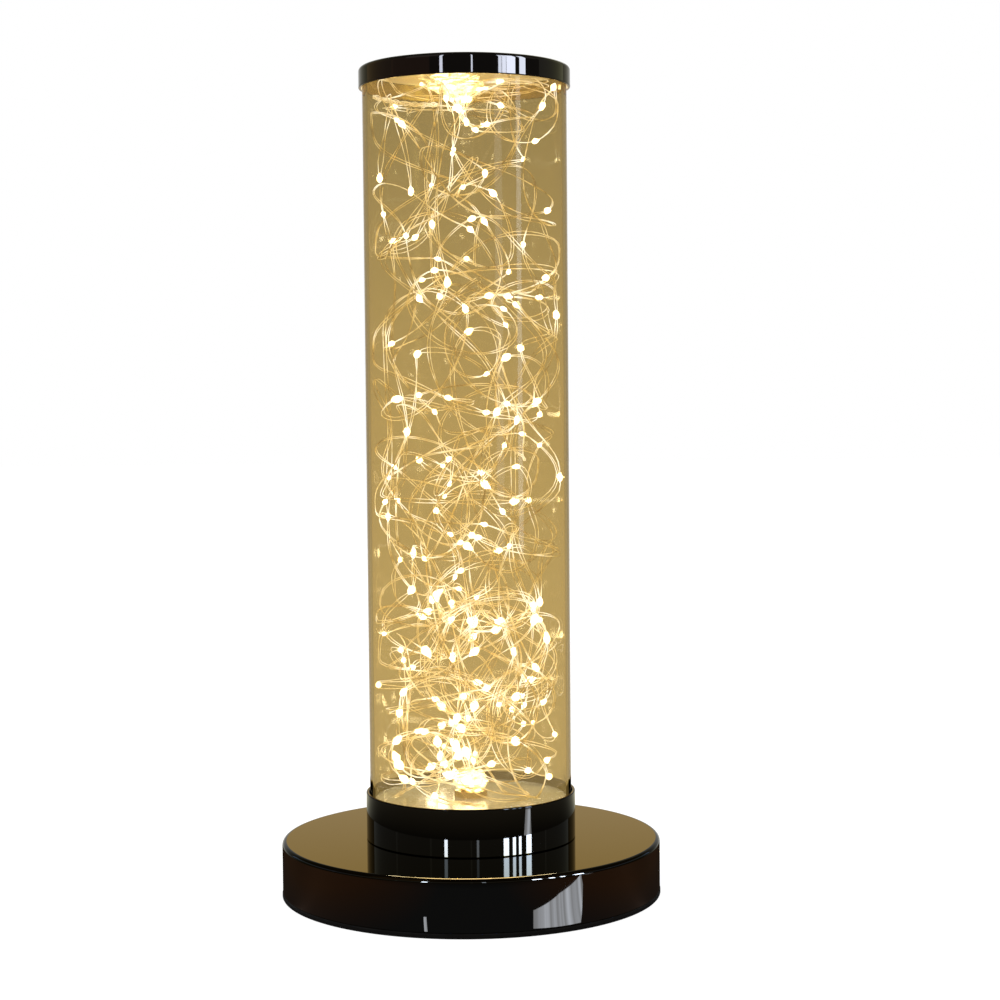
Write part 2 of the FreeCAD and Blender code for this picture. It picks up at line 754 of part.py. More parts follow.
def switch():
    """Push switch in the rear wall: barrel with bezel, nut, back with blades, spring and button."""
    lip_bore = "Sizes.button_radius + Sizes.button_clearance"
    flange_radius = "Levels.switch_bore - Sizes.button_clearance"
    barrel = turned(
        "switch_barrel",
        [
            ("Levels.switch_bore", "Levels.barrel_back"),
            ("Sizes.switch_barrel_radius", "Levels.barrel_back"),
            ("Sizes.switch_barrel_radius", "Levels.wall_front"),
            ("Sizes.switch_bezel_radius", "Levels.wall_front"),
            ("Sizes.switch_bezel_radius", "Levels.bezel_front"),
            (lip_bore, "Levels.bezel_front"),
            (lip_bore, "Levels.lip_back"),
            ("Levels.switch_bore", "Levels.lip_back"),
        ],
    )
    button = turned(
        "switch_button",
        [
            ("0", "Levels.flange_back"),
            (flange_radius, "Levels.flange_back"),
            (flange_radius, "Levels.flange_front"),
            ("Sizes.button_radius", "Levels.flange_front"),
            ("Sizes.button_radius", "Levels.button_front - Sizes.button_chamfer"),
            ("Sizes.button_radius - Sizes.button_chamfer", "Levels.button_front"),
            ("0", "Levels.button_front"),
        ],
    )
    ring_nut = nut(
        "switch_nut",
        "Sizes.switch_nut_radius",
        "Sizes.switch_nut_height",
        "Levels.nut_seat - Sizes.switch_nut_height",
        "Sizes.switch_barrel_radius + Sizes.thread_clearance",
    )
    plug = upright(
        CYLINDER,
        "switch_plug",
        "Levels.switch_bore - Sizes.thread_clearance",
        "Sizes.switch_back_height",
        "Levels.barrel_back",
    )
    blades = []
    for sign in (-1, 1):
        blades.append(
            block(
                f"switch_blade_{len(blades)}",
                ("Sizes.blade_width", "Sizes.blade_thickness", "Sizes.blade_length"),
                (f"{sign} * Sizes.blade_spacing / 2", "0"),
                "Levels.blade_tip",
            )
        )
    back = combine("Part::Fuse", "switch_back", plug, group("switch_blades", blades))
    for part in (barrel, button, ring_nut, back, spring()):
        point_through_wall(part, SWITCH_ANGLE)


def spring():
    """Coil spring of square wire between the switch's back and the button's flange."""
    gap = value("Sizes.fitting_clearance")
    half, radius = value("Sizes.spring_wire") / 2, value("Sizes.spring_radius")
    bottom = value("Levels.switch_back_front") + gap + half
    height = value("Levels.flange_back") - gap - half - bottom
    steps = round(value("Sizes.spring_turns") * SPRING_SIDES)
    rings = []
    for step in range(steps + 1):
        angle = 2 * math.pi * step / SPRING_SIDES
        outwards = Vector(math.cos(angle), math.sin(angle), 0)
        centre = outwards * radius + Vector(0, 0, bottom + height * step / steps)
        across, through = outwards * half, Vector(0, 0, half)
        rings.append([centre + across - through, centre + across + through])
        rings[-1] += [centre - across + through, centre - across - through]
    return feature("switch_spring", solid_of_rings(rings))


def grommet():
    """Rubber grommet in the rear wall, for the supply cord."""
    back = "Levels.grommet_seat - Sizes.grommet_flange_height"
    front = "Levels.wall_front + Sizes.grommet_flange_height"
    body = turned(
        "cord_grommet",
        [
            ("Sizes.grommet_bore_radius", back),
            ("Sizes.grommet_flange_radius", back),
            ("Sizes.grommet_flange_radius", "Levels.grommet_seat"),
            ("Sizes.grommet_neck_radius", "Levels.grommet_seat"),
            ("Sizes.grommet_neck_radius", "Levels.wall_front"),
            ("Sizes.grommet_flange_radius", "Levels.wall_front"),
            ("Sizes.grommet_flange_radius", front),
            ("Sizes.grommet_bore_radius", front),
        ],
    )
    point_through_wall(body, GROMMET_ANGLE)


NODES = [
    "foot_pad",
    "bottom_plate",
    "ballast",
    "base_shell",
    "base_posts",
    "collar",
    "nipple",
    "shell_nut",
    "floor_spacer",
    "tube_floor",
    "floor_nut",
    "lower_glue",
    "tube_pads",
    "tube",
    "cap_pads",
    "top_cap",
    "upper_glue",
    "string_wire",
    "led_beads",
    "driver_board",
    "board_spacers",
    "transformer",
    "terminal_blocks",
    "feed_lead",
    "switch_lead",
    "switch_barrel",
    "switch_nut",
    "switch_back",
    "switch_spring",
    "switch_button",
    "cord_grommet",
]


def write_parts():
    """Check every object of the document, then write one STEP file for each node."""
    doc.recompute()
    for thing in doc.Objects:
        if "Invalid" in thing.State or "Error" in thing.State:
            raise RuntimeError(f"{thing.Label} failed: {thing.State}")
    parts = [doc.getObject(name) for name in NODES]
    for part in parts:
        if part.Shape.isNull() or not part.Shape.isValid():
            raise RuntimeError(f"{part.Label} has no valid shape")
    os.makedirs("parts", exist_ok=True)
    for part in parts:
        part.Shape.exportStep(f"parts/{part.Label}.step")
        print(f"{part.Label}: {len(part.Shape.Solids)} solids, {part.Shape.Volume:.0f} mm3")


foot()
ballast()
base_shell()
collar()
tube_and_cap()
clamped_stack()
glue()
light_string()
board_and_spacers()
board_parts()
leads()
switch()
grommet()
write_parts()
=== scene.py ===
"""Column table lamp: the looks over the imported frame.

Metres, in the frame's own axes: +Z is up, the front faces -Y, and the table top is at zero.
"""

import json
import math
import random

import bmesh
import bpy
from mathutils import Matrix, Quaternion, Vector, geometry, kdtree, noise

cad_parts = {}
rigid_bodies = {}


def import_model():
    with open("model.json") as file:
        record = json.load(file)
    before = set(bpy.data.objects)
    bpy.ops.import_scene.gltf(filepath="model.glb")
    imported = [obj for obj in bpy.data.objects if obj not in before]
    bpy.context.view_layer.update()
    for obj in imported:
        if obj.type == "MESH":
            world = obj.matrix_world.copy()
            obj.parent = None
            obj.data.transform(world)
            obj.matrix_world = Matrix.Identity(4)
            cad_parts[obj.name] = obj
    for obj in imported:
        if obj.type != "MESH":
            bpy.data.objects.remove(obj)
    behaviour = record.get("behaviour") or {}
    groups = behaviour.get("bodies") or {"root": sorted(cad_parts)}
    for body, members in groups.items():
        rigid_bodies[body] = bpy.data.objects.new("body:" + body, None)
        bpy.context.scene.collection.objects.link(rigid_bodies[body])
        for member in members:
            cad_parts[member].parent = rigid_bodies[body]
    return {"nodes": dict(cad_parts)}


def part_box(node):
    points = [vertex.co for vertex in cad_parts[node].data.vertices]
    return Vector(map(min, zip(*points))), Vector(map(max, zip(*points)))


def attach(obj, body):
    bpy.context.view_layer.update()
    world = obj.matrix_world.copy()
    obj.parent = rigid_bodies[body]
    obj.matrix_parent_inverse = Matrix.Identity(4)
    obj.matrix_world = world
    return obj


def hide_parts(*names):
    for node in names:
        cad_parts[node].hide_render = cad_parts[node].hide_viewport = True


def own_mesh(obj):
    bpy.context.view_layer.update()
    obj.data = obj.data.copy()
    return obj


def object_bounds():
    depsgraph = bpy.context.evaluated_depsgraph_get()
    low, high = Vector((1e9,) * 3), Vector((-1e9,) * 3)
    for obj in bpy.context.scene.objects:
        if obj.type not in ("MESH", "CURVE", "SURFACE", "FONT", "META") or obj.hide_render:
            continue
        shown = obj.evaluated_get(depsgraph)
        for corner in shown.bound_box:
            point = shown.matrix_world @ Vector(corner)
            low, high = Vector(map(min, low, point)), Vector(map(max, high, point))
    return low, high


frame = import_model()
cad_low, cad_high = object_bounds()

MM = 0.001
UP = Vector((0, 0, 1))


def reach(node):
    """Half the width of a round CAD node, in metres."""
    low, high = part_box(node)
    return (high.x - low.x) / 2


def bottom(node):
    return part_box(node)[0].z


def top(node):
    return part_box(node)[1].z


# Sizes that the frame's boxes don't give
SHELL_SHEET = 1.5 * MM
SHELL_EDGE = 2.0 * MM
COLLAR_WALL = 1.5 * MM
CAP_SHEET = 1.4 * MM
CAP_EDGE = 1.9 * MM
TUBE_WALL = 2.8 * MM
HOLD = 0.1 * MM
ARC_STEPS = 6
NIPPLE_HOLE = 5.05 * MM
SWITCH_HOLE = 6.1 * MM
GROMMET_HOLE = 5.0 * MM
FITTING_HEIGHT = 15.2 * MM
GROMMET_ANGLE = math.radians(-22)

# Light string: four lengths, each a pair of wires with a lamp bead about every 125 mm
STRING_SEEDS = (72, 164, 374, 218)
STRING_LENGTH = 5.6
WALK_STEP = 4 * MM
PAIR_SPREAD = 1.4 * MM
WIRE_RADIUS = 0.2 * MM
BEAD_PITCH = 125 * MM
BEAD_RADIUS = 1.65 * MM
BEAD_LENGTH = 3.6 * MM
CHIP_RADIUS = 0.8 * MM
GLOW_REACH = 9 * MM
ROPE_START = Vector((-12, -8, 388)) * MM
ROPE_END = Vector((-44, -8, 392)) * MM
ROPE_STEPS = 40
ROPE_STRANDS = 6

# What bends the string's path, as curvatures in 1/m; the pull is for each metre off its height
LEVEL_PULL = 260
WALL_PUSH = 95
END_PUSH = 60
SHARPEST_BEND = 110
# Share of the room inside the tube where the wall begins to push
WALL_ZONE = 0.7

# Camera, from the photograph's perspective
CAMERA_PLACE = Vector((0, -1.03, 0.2502))
CAMERA_DOWN = 0.0535
CAMERA_YAW = 0.0153
CAMERA_ROLL = -0.0085
CAMERA_LENS = 75.07
CAMERA_SENSOR = 36

# Window light round the lamp, and the cards on the table
WINDOW_DISTANCE = 1.6
STREAK_CENTRE_AHEAD = 52 * MM
CARD_LEVEL = 0.5 * MM
ROOM_LEVEL = 0.3 * MM
ROOM_RADIUS = 0.32
ROOM_PIVOT_ASIDE = 82 * MM
ROOM_PIVOT_AHEAD = 42 * MM
ROOM_FALL = 0.067


# Shader helpers


def add_node(tree, kind, **values):
    """A shader node with some of its sockets or properties set by name."""
    node = tree.nodes.new(kind)
    for name, setting in values.items():
        socket = node.inputs.get(name.replace("_", " "))
        if socket is None:
            setattr(node, name, setting)
        else:
            socket.default_value = setting
    return node


def figure(tree, operation, *terms):
    """The output of a maths node whose terms are outputs of other nodes or numbers."""
    node = add_node(tree, "ShaderNodeMath", operation=operation)
    for socket, term in zip(node.inputs, terms):
        if isinstance(term, bpy.types.NodeSocket):
            tree.links.new(term, socket)
        else:
            socket.default_value = term
    return node.outputs[0]


def ramp(tree, value, first, last, *between):
    """The colour that a ramp of (position, colour) stops gives for a value."""
    node = tree.nodes.new("ShaderNodeValToRGB")
    stops = node.color_ramp.elements
    for stop, (position, colour) in zip((stops[0], stops[1]), (first, last)):
        stop.position = position
        stop.color = (*colour, 1)
    for position, colour in between:
        stops.new(position).color = (*colour, 1)
    tree.links.new(value, node.inputs["Fac"])
    return node.outputs["Color"]


def own_surface(name):
    """A material whose surface is made from other shaders than the Principled one."""
    material = bpy.data.materials.new(name)
    material.use_nodes = True
    tree = material.node_tree
    tree.nodes.remove(tree.nodes["Principled BSDF"])
    return material, tree, tree.nodes["Material Output"].inputs["Surface"]


def new_material(name, **values):
    """A material on a Principled shader, with some of its sockets set by name."""
    material = bpy.data.materials.new(name)
    material.use_nodes = True
    shader = material.node_tree.nodes["Principled BSDF"]
    for socket, setting in values.items():
        shader.inputs[socket.replace("_", " ")].default_value = setting
    return material, material.node_tree, shader


def surface_marks_group():
    """Handling marks and fine grain: roughness between two limits, and a small height."""
    tree = bpy.data.node_groups.new("surface_marks", "ShaderNodeTree")
    for name, setting in (("Scale", 60.0), ("Smoothest", 0.03), ("Roughest", 0.08), ("Grain", 900.0)):
        socket = tree.interface.new_socket(name, in_out="INPUT", socket_type="NodeSocketFloat")
        socket.default_value = setting
    tree.interface.new_socket("Roughness", in_out="OUTPUT", socket_type="NodeSocketFloat")
    tree.interface.new_socket("Height", in_out="OUTPUT", socket_type="NodeSocketFloat")
    given = tree.nodes.new("NodeGroupInput")
    result = tree.nodes.new("NodeGroupOutput")
    place = tree.nodes.new("ShaderNodeTexCoord")
    smudge = add_node(tree, "ShaderNodeTexNoise", Detail=4.0, Roughness=0.6, Distortion=0.6)
    grain = add_node(tree, "ShaderNodeTexNoise", Detail=2.0)
    spread = add_node(tree, "ShaderNodeMapRange", From_Min=0.35, From_Max=0.7)
    links = tree.links
    links.new(place.outputs["Object"], smudge.inputs["Vector"])
    links.new(place.outputs["Object"], grain.inputs["Vector"])
    links.new(given.outputs["Scale"], smudge.inputs["Scale"])
    links.new(given.outputs["Grain"], grain.inputs["Scale"])
    links.new(smudge.outputs["Fac"], spread.inputs["Value"])
    links.new(given.outputs["Smoothest"], spread.inputs["To Min"])
    links.new(given.outputs["Roughest"], spread.inputs["To Max"])
    links.new(spread.outputs["Result"], result.inputs["Roughness"])
    links.new(grain.outputs["Fac"], result.inputs["Height"])
    return tree


surface_marks = surface_marks_group()


def mark_surface(tree, shader, scale, smoothest, roughest, grain=900.0, relief=0.0):
    """Put the surface marks on a material, with a bump where the relief isn't zero."""
    marks = tree.nodes.new("ShaderNodeGroup")
    marks.node_tree = surface_marks
    settings = {"Scale": scale, "Smoothest": smoothest, "Roughest": roughest, "Grain": grain}
    for name, setting in settings.items():
        marks.inputs[name].default_value = setting
    tree.links.new(marks.outputs["Roughness"], shader.inputs["Roughness"])
    if relief:
        bump = add_node(tree, "ShaderNodeBump", Strength=relief, Distance=0.2 * MM)
        tree.links.new(marks.outputs["Height"], bump.inputs["Height"])
        tree.links.new(bump.outputs["Normal"], shader.inputs["Normal"])


# Materials


def black_nickel(name, face_on, edge_tint):
    """Mirror-bright black nickel: its colour face on, and the tint of what it shows at a low angle."""
    material, tree, shader = new_material(
        name, Base_Color=(*face_on, 1), Metallic=1.0, Specular_Tint=(*edge_tint, 1)
    )
    mark_surface(tree, shader, 45.0, 0.015, 0.05)
    return material


def let_light_through(tree, surface):
    """Show a surface to every ray but shadow rays, which pass through it."""
    passing = add_node(tree, "ShaderNodeBsdfTransparent", Color=(0.85, 0.8, 0.66, 1))
    path = tree.nodes.new("ShaderNodeLightPath")
    blend = tree.nodes.new("ShaderNodeMixShader")
    tree.links.new(path.outputs["Is Shadow Ray"], blend.inputs["Fac"])
    tree.links.new(surface, blend.inputs[1])
    tree.links.new(passing.outputs["BSDF"], blend.inputs[2])
    tree.links.new(blend.outputs["Shader"], tree.nodes["Material Output"].inputs["Surface"])


def tube_glass():
    """Tinted outer face of the tube, a little deeper where the wall is seen along its length."""
    material, tree, shader = new_material(
        "tube_glass", Transmission_Weight=1.0, Roughness=0.0, IOR=1.03
    )
    facing = add_node(tree, "ShaderNodeLayerWeight", Blend=0.5).outputs["Facing"]
    shade = ramp(tree, facing, (0.5, (0.265, 0.188, 0.061)), (0.85, (0.25, 0.175, 0.058)))
    tree.links.new(shade, shader.inputs["Base Color"])
    mirror = add_node(tree, "ShaderNodeBsdfGlossy", Color=(1, 1, 1, 1), Roughness=0.03)
    both = add_node(tree, "ShaderNodeMixShader", Fac=0.015)
    tree.links.new(shader.outputs["BSDF"], both.inputs[1])
    tree.links.new(mirror.outputs["BSDF"], both.inputs[2])
    let_light_through(tree, both.outputs["Shader"])
    return material


def tube_bore():
    """Clear inner face of the tube, which mirrors the beads and has a painted glow for their light,
    weak at the top and strongest from the middle down.
    """
    material, tree, shader = new_material(
        "tube_glass_bore_painted_glow",
        Base_Color=(1, 1, 1, 1),
        Transmission_Weight=1.0,
        Roughness=0.0,
        IOR=1.02,
        Emission_Strength=1.0,
    )
    place = tree.nodes.new("ShaderNodeTexCoord")
    parts = tree.nodes.new("ShaderNodeSeparateXYZ")
    fade = add_node(tree, "ShaderNodeMapRange", From_Min=top("tube"), From_Max=bottom("tube"))
    tree.links.new(place.outputs["Object"], parts.inputs["Vector"])
    tree.links.new(parts.outputs["Z"], fade.inputs["Value"])
    # Painted glow: emission by height that stands for the beads' light in the tube.
    painted_glow = ramp(
        tree,
        fade.outputs["Result"],
        (0.0, (0.025, 0.02, 0.006)),
        (1.0, (0.16, 0.125, 0.06)),
        (0.45, (0.175, 0.13, 0.055)),
    )
    tree.links.new(painted_glow, shader.inputs["Emission Color"])
    mirror = add_node(tree, "ShaderNodeBsdfGlossy", Color=(1, 0.96, 0.86, 1), Roughness=0.02)
    glare = add_node(tree, "ShaderNodeFresnel", IOR=1.35)
    side = tree.nodes.new("ShaderNodeNewGeometry")
    inside = figure(tree, "SUBTRACT", 1.0, side.outputs["Backfacing"])
    both = tree.nodes.new("ShaderNodeMixShader")
    tree.links.new(figure(tree, "MULTIPLY", glare.outputs[0], inside), both.inputs["Fac"])
    tree.links.new(shader.outputs["BSDF"], both.inputs[1])
    tree.links.new(mirror.outputs["BSDF"], both.inputs[2])
    let_light_through(tree, both.outputs["Shader"])
    return material


def polished_floor_painted_glow():
    """Bright polished steel of the disc inside the tube, with a painted glow that stands for the light
    of the beads on it.
    """
    material, tree, shader = new_material(
        "polished_floor_painted_glow",
        Base_Color=(0.66, 0.68, 0.76, 1),
        Metallic=1.0,
        # Painted glow: a weak emission in place of the beads' light on the disc.
        Emission_Color=(0.9, 0.95, 1.0, 1),
        Emission_Strength=0.25,
    )
    mark_surface(tree, shader, 70.0, 0.14, 0.3)
    return material


def painted_glow_metal():
    """Bare satin metal under the cap, with a painted glow that stands for the lamps just below it."""
    material, tree, shader = new_material(
        "bare_metal_painted_glow",
        Base_Color=(0.68, 0.6, 0.4, 1),
        Metallic=0.8,
        # Painted glow in place of the light of the lamps below.
        Emission_Color=(1.0, 0.86, 0.6, 1),
        Emission_Strength=0.5,
    )
    mark_surface(tree, shader, 90.0, 0.28, 0.42, 500.0, 0.15)
    return material


def string_copper():
    """Fine lacquered wire with painted light: a painted glow where it passes a lamp, dull gold further
    off, and painted shade where the random patches are dark.
    """
    material, tree, shader = new_material(
        "string_copper", Base_Color=(0.56, 0.43, 0.22, 1), Metallic=0.85, Emission_Strength=1.0
    )
    mark_surface(tree, shader, 400.0, 0.22, 0.4)
    place = tree.nodes.new("ShaderNodeTexCoord")
    near = add_node(tree, "ShaderNodeAttribute", attribute_name="near_lamp")
    painted_light_patches = add_node(tree, "ShaderNodeTexNoise", Scale=110.0, Detail=2.0)
    tree.links.new(place.outputs["Object"], painted_light_patches.inputs["Vector"])
    # Painted light and shade: emission that is brightest near a lamp and falls to dark in the low
    # patches.
    light = ramp(
        tree,
        figure(tree, "MULTIPLY_ADD", near.outputs["Fac"], 0.55, painted_light_patches.outputs["Fac"]),
        (0.5, (0.02, 0.015, 0.005)),
        (1.0, (1.9, 2.2, 3.1)),
        (0.6, (0.55, 0.43, 0.17)),
        (0.78, (1.15, 1.08, 0.9)),
    )
    tree.links.new(light, shader.inputs["Emission Color"])
    return material


def bead_resin():
    """Clear resin full of lamp light, white at its middle and fading at its edge."""
    material, tree, shader = new_material(
        "bead_resin", Base_Color=(1.0, 0.85, 0.55, 1), Roughness=0.1, Emission_Strength=14.0
    )
    facing = add_node(tree, "ShaderNodeLayerWeight", Blend=0.5).outputs["Facing"]
    light = ramp(tree, facing, (0.0, (0.95, 0.97, 1.0)), (0.75, (0.12, 0.11, 0.09)))
    solid = add_node(tree, "ShaderNodeMapRange", From_Min=0.9, From_Max=0.35)
    tree.links.new(facing, solid.inputs["Value"])
    tree.links.new(light, shader.inputs["Emission Color"])
    tree.links.new(solid.outputs["Result"], shader.inputs["Alpha"])
    return material


def lamp_chip():
    return new_material(
        "lamp_chip",
        Base_Color=(1.0, 0.95, 0.8, 1),
        Emission_Color=(1.0, 0.92, 0.75, 1),
        Emission_Strength=30.0,
    )[0]


def clear_glue():
    """Cloudy clear glue, speckled with bubbles, with a painted glow for the lamp light inside it, and
    fading at its edge.
    """
    material, tree, shader = new_material(
        "clear_glue",
        Base_Color=(1.0, 0.9, 0.68, 1),
        Transmission_Weight=0.4,
        Roughness=0.3,
        Emission_Strength=5.0,
    )
    place = tree.nodes.new("ShaderNodeTexCoord")
    bubbles = add_node(tree, "ShaderNodeTexVoronoi", Scale=600.0)
    facing = add_node(tree, "ShaderNodeLayerWeight", Blend=0.5).outputs["Facing"]
    # Painted glow: white in the middle, darker at the bubbles and towards the edge.
    shade = ramp(
        tree,
        figure(tree, "MULTIPLY_ADD", bubbles.outputs["Distance"], 0.45, facing),
        (0.2, (0.98, 0.98, 0.96)),
        (1.0, (0.03, 0.02, 0.01)),
        (0.62, (0.32, 0.27, 0.18)),
    )
    solid = add_node(tree, "ShaderNodeMapRange", From_Min=0.75, From_Max=0.05)
    bump = add_node(tree, "ShaderNodeBump", Strength=0.4, Distance=0.4 * MM)
    tree.links.new(place.outputs["Object"], bubbles.inputs["Vector"])
    tree.links.new(shade, shader.inputs["Emission Color"])
    tree.links.new(facing, solid.inputs["Value"])
    tree.links.new(solid.outputs["Result"], shader.inputs["Alpha"])
    tree.links.new(bubbles.outputs["Distance"], bump.inputs["Height"])
    tree.links.new(bump.outputs["Normal"], shader.inputs["Normal"])
    return material


def plain_finish(name, colour, metallic, smoothest, roughest, scale=80.0, grain=900.0, relief=0.0):
    """A simple finish of one colour, with its own handling marks and grain."""
    material, tree, shader = new_material(name, Base_Color=(*colour, 1), Metallic=metallic)
    mark_surface(tree, shader, scale, smoothest, roughest, grain, relief)
    return material


# Copies of one black nickel for flats, walls, rounded edges and the cap's sides, each with its own
# painted reflection: how bright it is face on and the tint it shows at a low angle. The flats' warm
# khaki tint at a low angle is a painted reflection.
NICKEL_FLATS_PAINTED_REFLECTION = black_nickel("black_nickel", (0.0002, 0.0002, 0.0001), (0.85, 0.665, 0.42))
NICKEL_WALLS_PAINTED_REFLECTION = black_nickel("black_nickel_wall_painted_reflection", (0.0045, 0.0038, 0.0033), (0.56, 0.56, 0.56))
NICKEL_EDGES_PAINTED_REFLECTION = black_nickel("black_nickel_edge_painted_reflection", (0.002, 0.0012, 0.0004), (0.53, 0.53, 0.52))
NICKEL_CAP_PAINTED_REFLECTION = black_nickel("black_nickel_cap_painted_reflection", (0.0045, 0.0038, 0.0033), (0.62, 0.61, 0.56))
GLASS = tube_glass()
GLASS_BORE_PAINTED_GLOW = tube_bore()
POLISHED_PAINTED_GLOW = polished_floor_painted_glow()
BARE_PAINTED_GLOW = painted_glow_metal()
COPPER_PAINTED_GLOW = string_copper()
RESIN = bead_resin()
CHIP = lamp_chip()
GLUE_PAINTED_GLOW = clear_glue()
FOAM = plain_finish("eva_foam", (0.004, 0.0035, 0.003), 0.0, 0.75, 0.95, 60.0, 1500.0, 0.6)
FOAM.node_tree.nodes["Principled BSDF"].inputs["Specular IOR Level"].default_value = 0.1
ZINC = plain_finish("zinc_plate", (0.58, 0.58, 0.55), 1.0, 0.3, 0.5)
IRON = plain_finish("cast_iron", (0.05, 0.05, 0.05), 0.7, 0.6, 0.85, 40.0, 400.0, 0.8)
BRASS = plain_finish("turned_brass", (0.75, 0.56, 0.26), 1.0, 0.18, 0.32)
RUBBER = plain_finish("soft_rubber", (0.022, 0.021, 0.02), 0.0, 0.5, 0.7, 90.0, 1200.0, 0.3)
PLASTIC = plain_finish("moulded_plastic", (0.012, 0.012, 0.012), 0.0, 0.28, 0.42, 70.0, 1400.0, 0.25)
BUTTON = plain_finish("button_plastic", (0.02, 0.019, 0.018), 0.0, 0.16, 0.28, 110.0, 1600.0, 0.1)
BOARD = plain_finish("solder_mask", (0.015, 0.09, 0.035), 0.0, 0.25, 0.4)
NYLON = plain_finish("natural_nylon", (0.7, 0.68, 0.6), 0.0, 0.4, 0.55)
WINDING = plain_finish("winding_tape", (0.6, 0.42, 0.05), 0.0, 0.3, 0.45)
TERMINAL = plain_finish("terminal_plastic", (0.02, 0.14, 0.05), 0.0, 0.35, 0.5)
VINYL = plain_finish("lead_vinyl", (0.02, 0.02, 0.02), 0.0, 0.35, 0.5)
STEEL = plain_finish("drawn_steel", (0.6, 0.6, 0.6), 1.0, 0.2, 0.35)


# Pieces


def add_piece(name, mesh, material, nodes, body="lamp"):
    """A finished piece from its mesh, which rides on a body and may stand for CAD nodes."""
    piece = bpy.data.objects.new(name, mesh)
    bpy.context.scene.collection.objects.link(piece)
    for finish in material if isinstance(material, tuple) else (material,):
        mesh.materials.append(finish)
    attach(piece, body)
    if nodes:
        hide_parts(*nodes)
    return piece


def finished_mesh(name, shape, sharp=30):
    """A smooth mesh from a bmesh, with edges sharper than an angle left crisp."""
    bmesh.ops.remove_doubles(shape, verts=shape.verts, dist=1e-7)
    bmesh.ops.recalc_face_normals(shape, faces=shape.faces)
    mesh = bpy.data.meshes.new(name)
    shape.to_mesh(mesh)
    shape.free()
    mesh.polygons.foreach_set("use_smooth", [True] * len(mesh.polygons))
    mesh.set_sharp_from_angle(angle=math.radians(sharp))
    return mesh


def outline(corners, closed):
    """Places along an outline of (radius, height, rounding) corners, its rounded corners as arcs.

    A place just before and just after each arc keeps the flats beside it flat in smooth shading.
    """
    places = []
    for number, (radius, height, rounding) in enumerate(corners):
        corner = Vector((radius, 0, height))
        if not rounding:
            places.append(corner)
            continue
        before = Vector((corners[number - 1][0], 0, corners[number - 1][1])) - corner
        following = corners[(number + 1) % len(corners)]
        after = Vector((following[0], 0, following[1])) - corner
        before.normalize()
        after.normalize()
        half = before.angle(after) / 2
        centre = corner + (before + after).normalized() * (rounding / math.sin(half))
        first = corner + before * (rounding / math.tan(half)) - centre
        last = corner + after * (rounding / math.tan(half)) - centre
        places.append(corner + before * (rounding / math.tan(half) + HOLD))
        places += [
            centre + first.slerp(last, step / ARC_STEPS) * rounding for step in range(ARC_STEPS + 1)
        ]
        places.append(corner + after * (rounding / math.tan(half) + HOLD))
    if closed:
        places.append(places[0])
    return places


def turned(corners, closed=True, steps=200):
    """A bmesh turned about the Z axis from its outline."""
    shape = bmesh.new()
    spots = [shape.verts.new(spot) for spot in outline(corners, closed)]
    for spot, following in zip(spots, spots[1:]):
        shape.edges.new((spot, following))
    bmesh.ops.spin(
        shape,
        geom=shape.verts[:] + shape.edges[:],
        cent=(0, 0, 0),
        axis=(0, 0, 1),
        dvec=(0, 0, 0),
        angle=math.tau,
        steps=steps,
        use_merge=True,
        use_duplicate=False,
    )
    bmesh.ops.remove_doubles(shape, verts=shape.verts, dist=1e-7)
    bmesh.ops.dissolve_degenerate(shape, edges=shape.edges, dist=1e-8)
    return shape


def painted_reflection_faces(mesh, edge):
    """Give a turned part's flats, walls and rounded edges their own copy of the nickel, each with its
    own painted reflection at a low angle.
    """
    for face in mesh.polygons:
        rise = abs(face.normal.z)
        face.material_index = 1 if rise < 0.02 else 0 if rise > 0.9995 else edge


def out_through_wall(angle):
    """Turns what was made along Z to point out through the rear wall, at the fittings' height."""
    outwards = Vector((math.sin(angle), math.cos(angle), 0))
    turn = outwards.to_track_quat("Z", "Y").to_matrix().to_4x4()
    return Matrix.Translation((0, 0, FITTING_HEIGHT)) @ turn


def drilled(mesh, radius, angle):
    """Drill a round hole outwards through the rear wall of a mesh."""
    length = reach("base_shell") * 0.4
    drill = bmesh.new()
    middle = out_through_wall(angle) @ Matrix.Translation((0, 0, reach("base_shell")))
    bmesh.ops.create_cone(
        drill, cap_ends=True, segments=48, radius1=radius, radius2=radius, depth=length, matrix=middle
    )
    cutter = bpy.data.objects.new("drill", finished_mesh("drill", drill))
    blank = bpy.data.objects.new("blank", mesh)
    for thing in (cutter, blank):
        bpy.context.scene.collection.objects.link(thing)
    cut = blank.modifiers.new("hole", "BOOLEAN")
    cut.operation = "DIFFERENCE"
    cut.object = cutter
    graph = bpy.context.evaluated_depsgraph_get()
    result = bpy.data.meshes.new_from_object(blank.evaluated_get(graph))
    for thing in (cutter, blank):
        bpy.data.objects.remove(thing)
    result.set_sharp_from_angle(angle=math.radians(30))
    return result


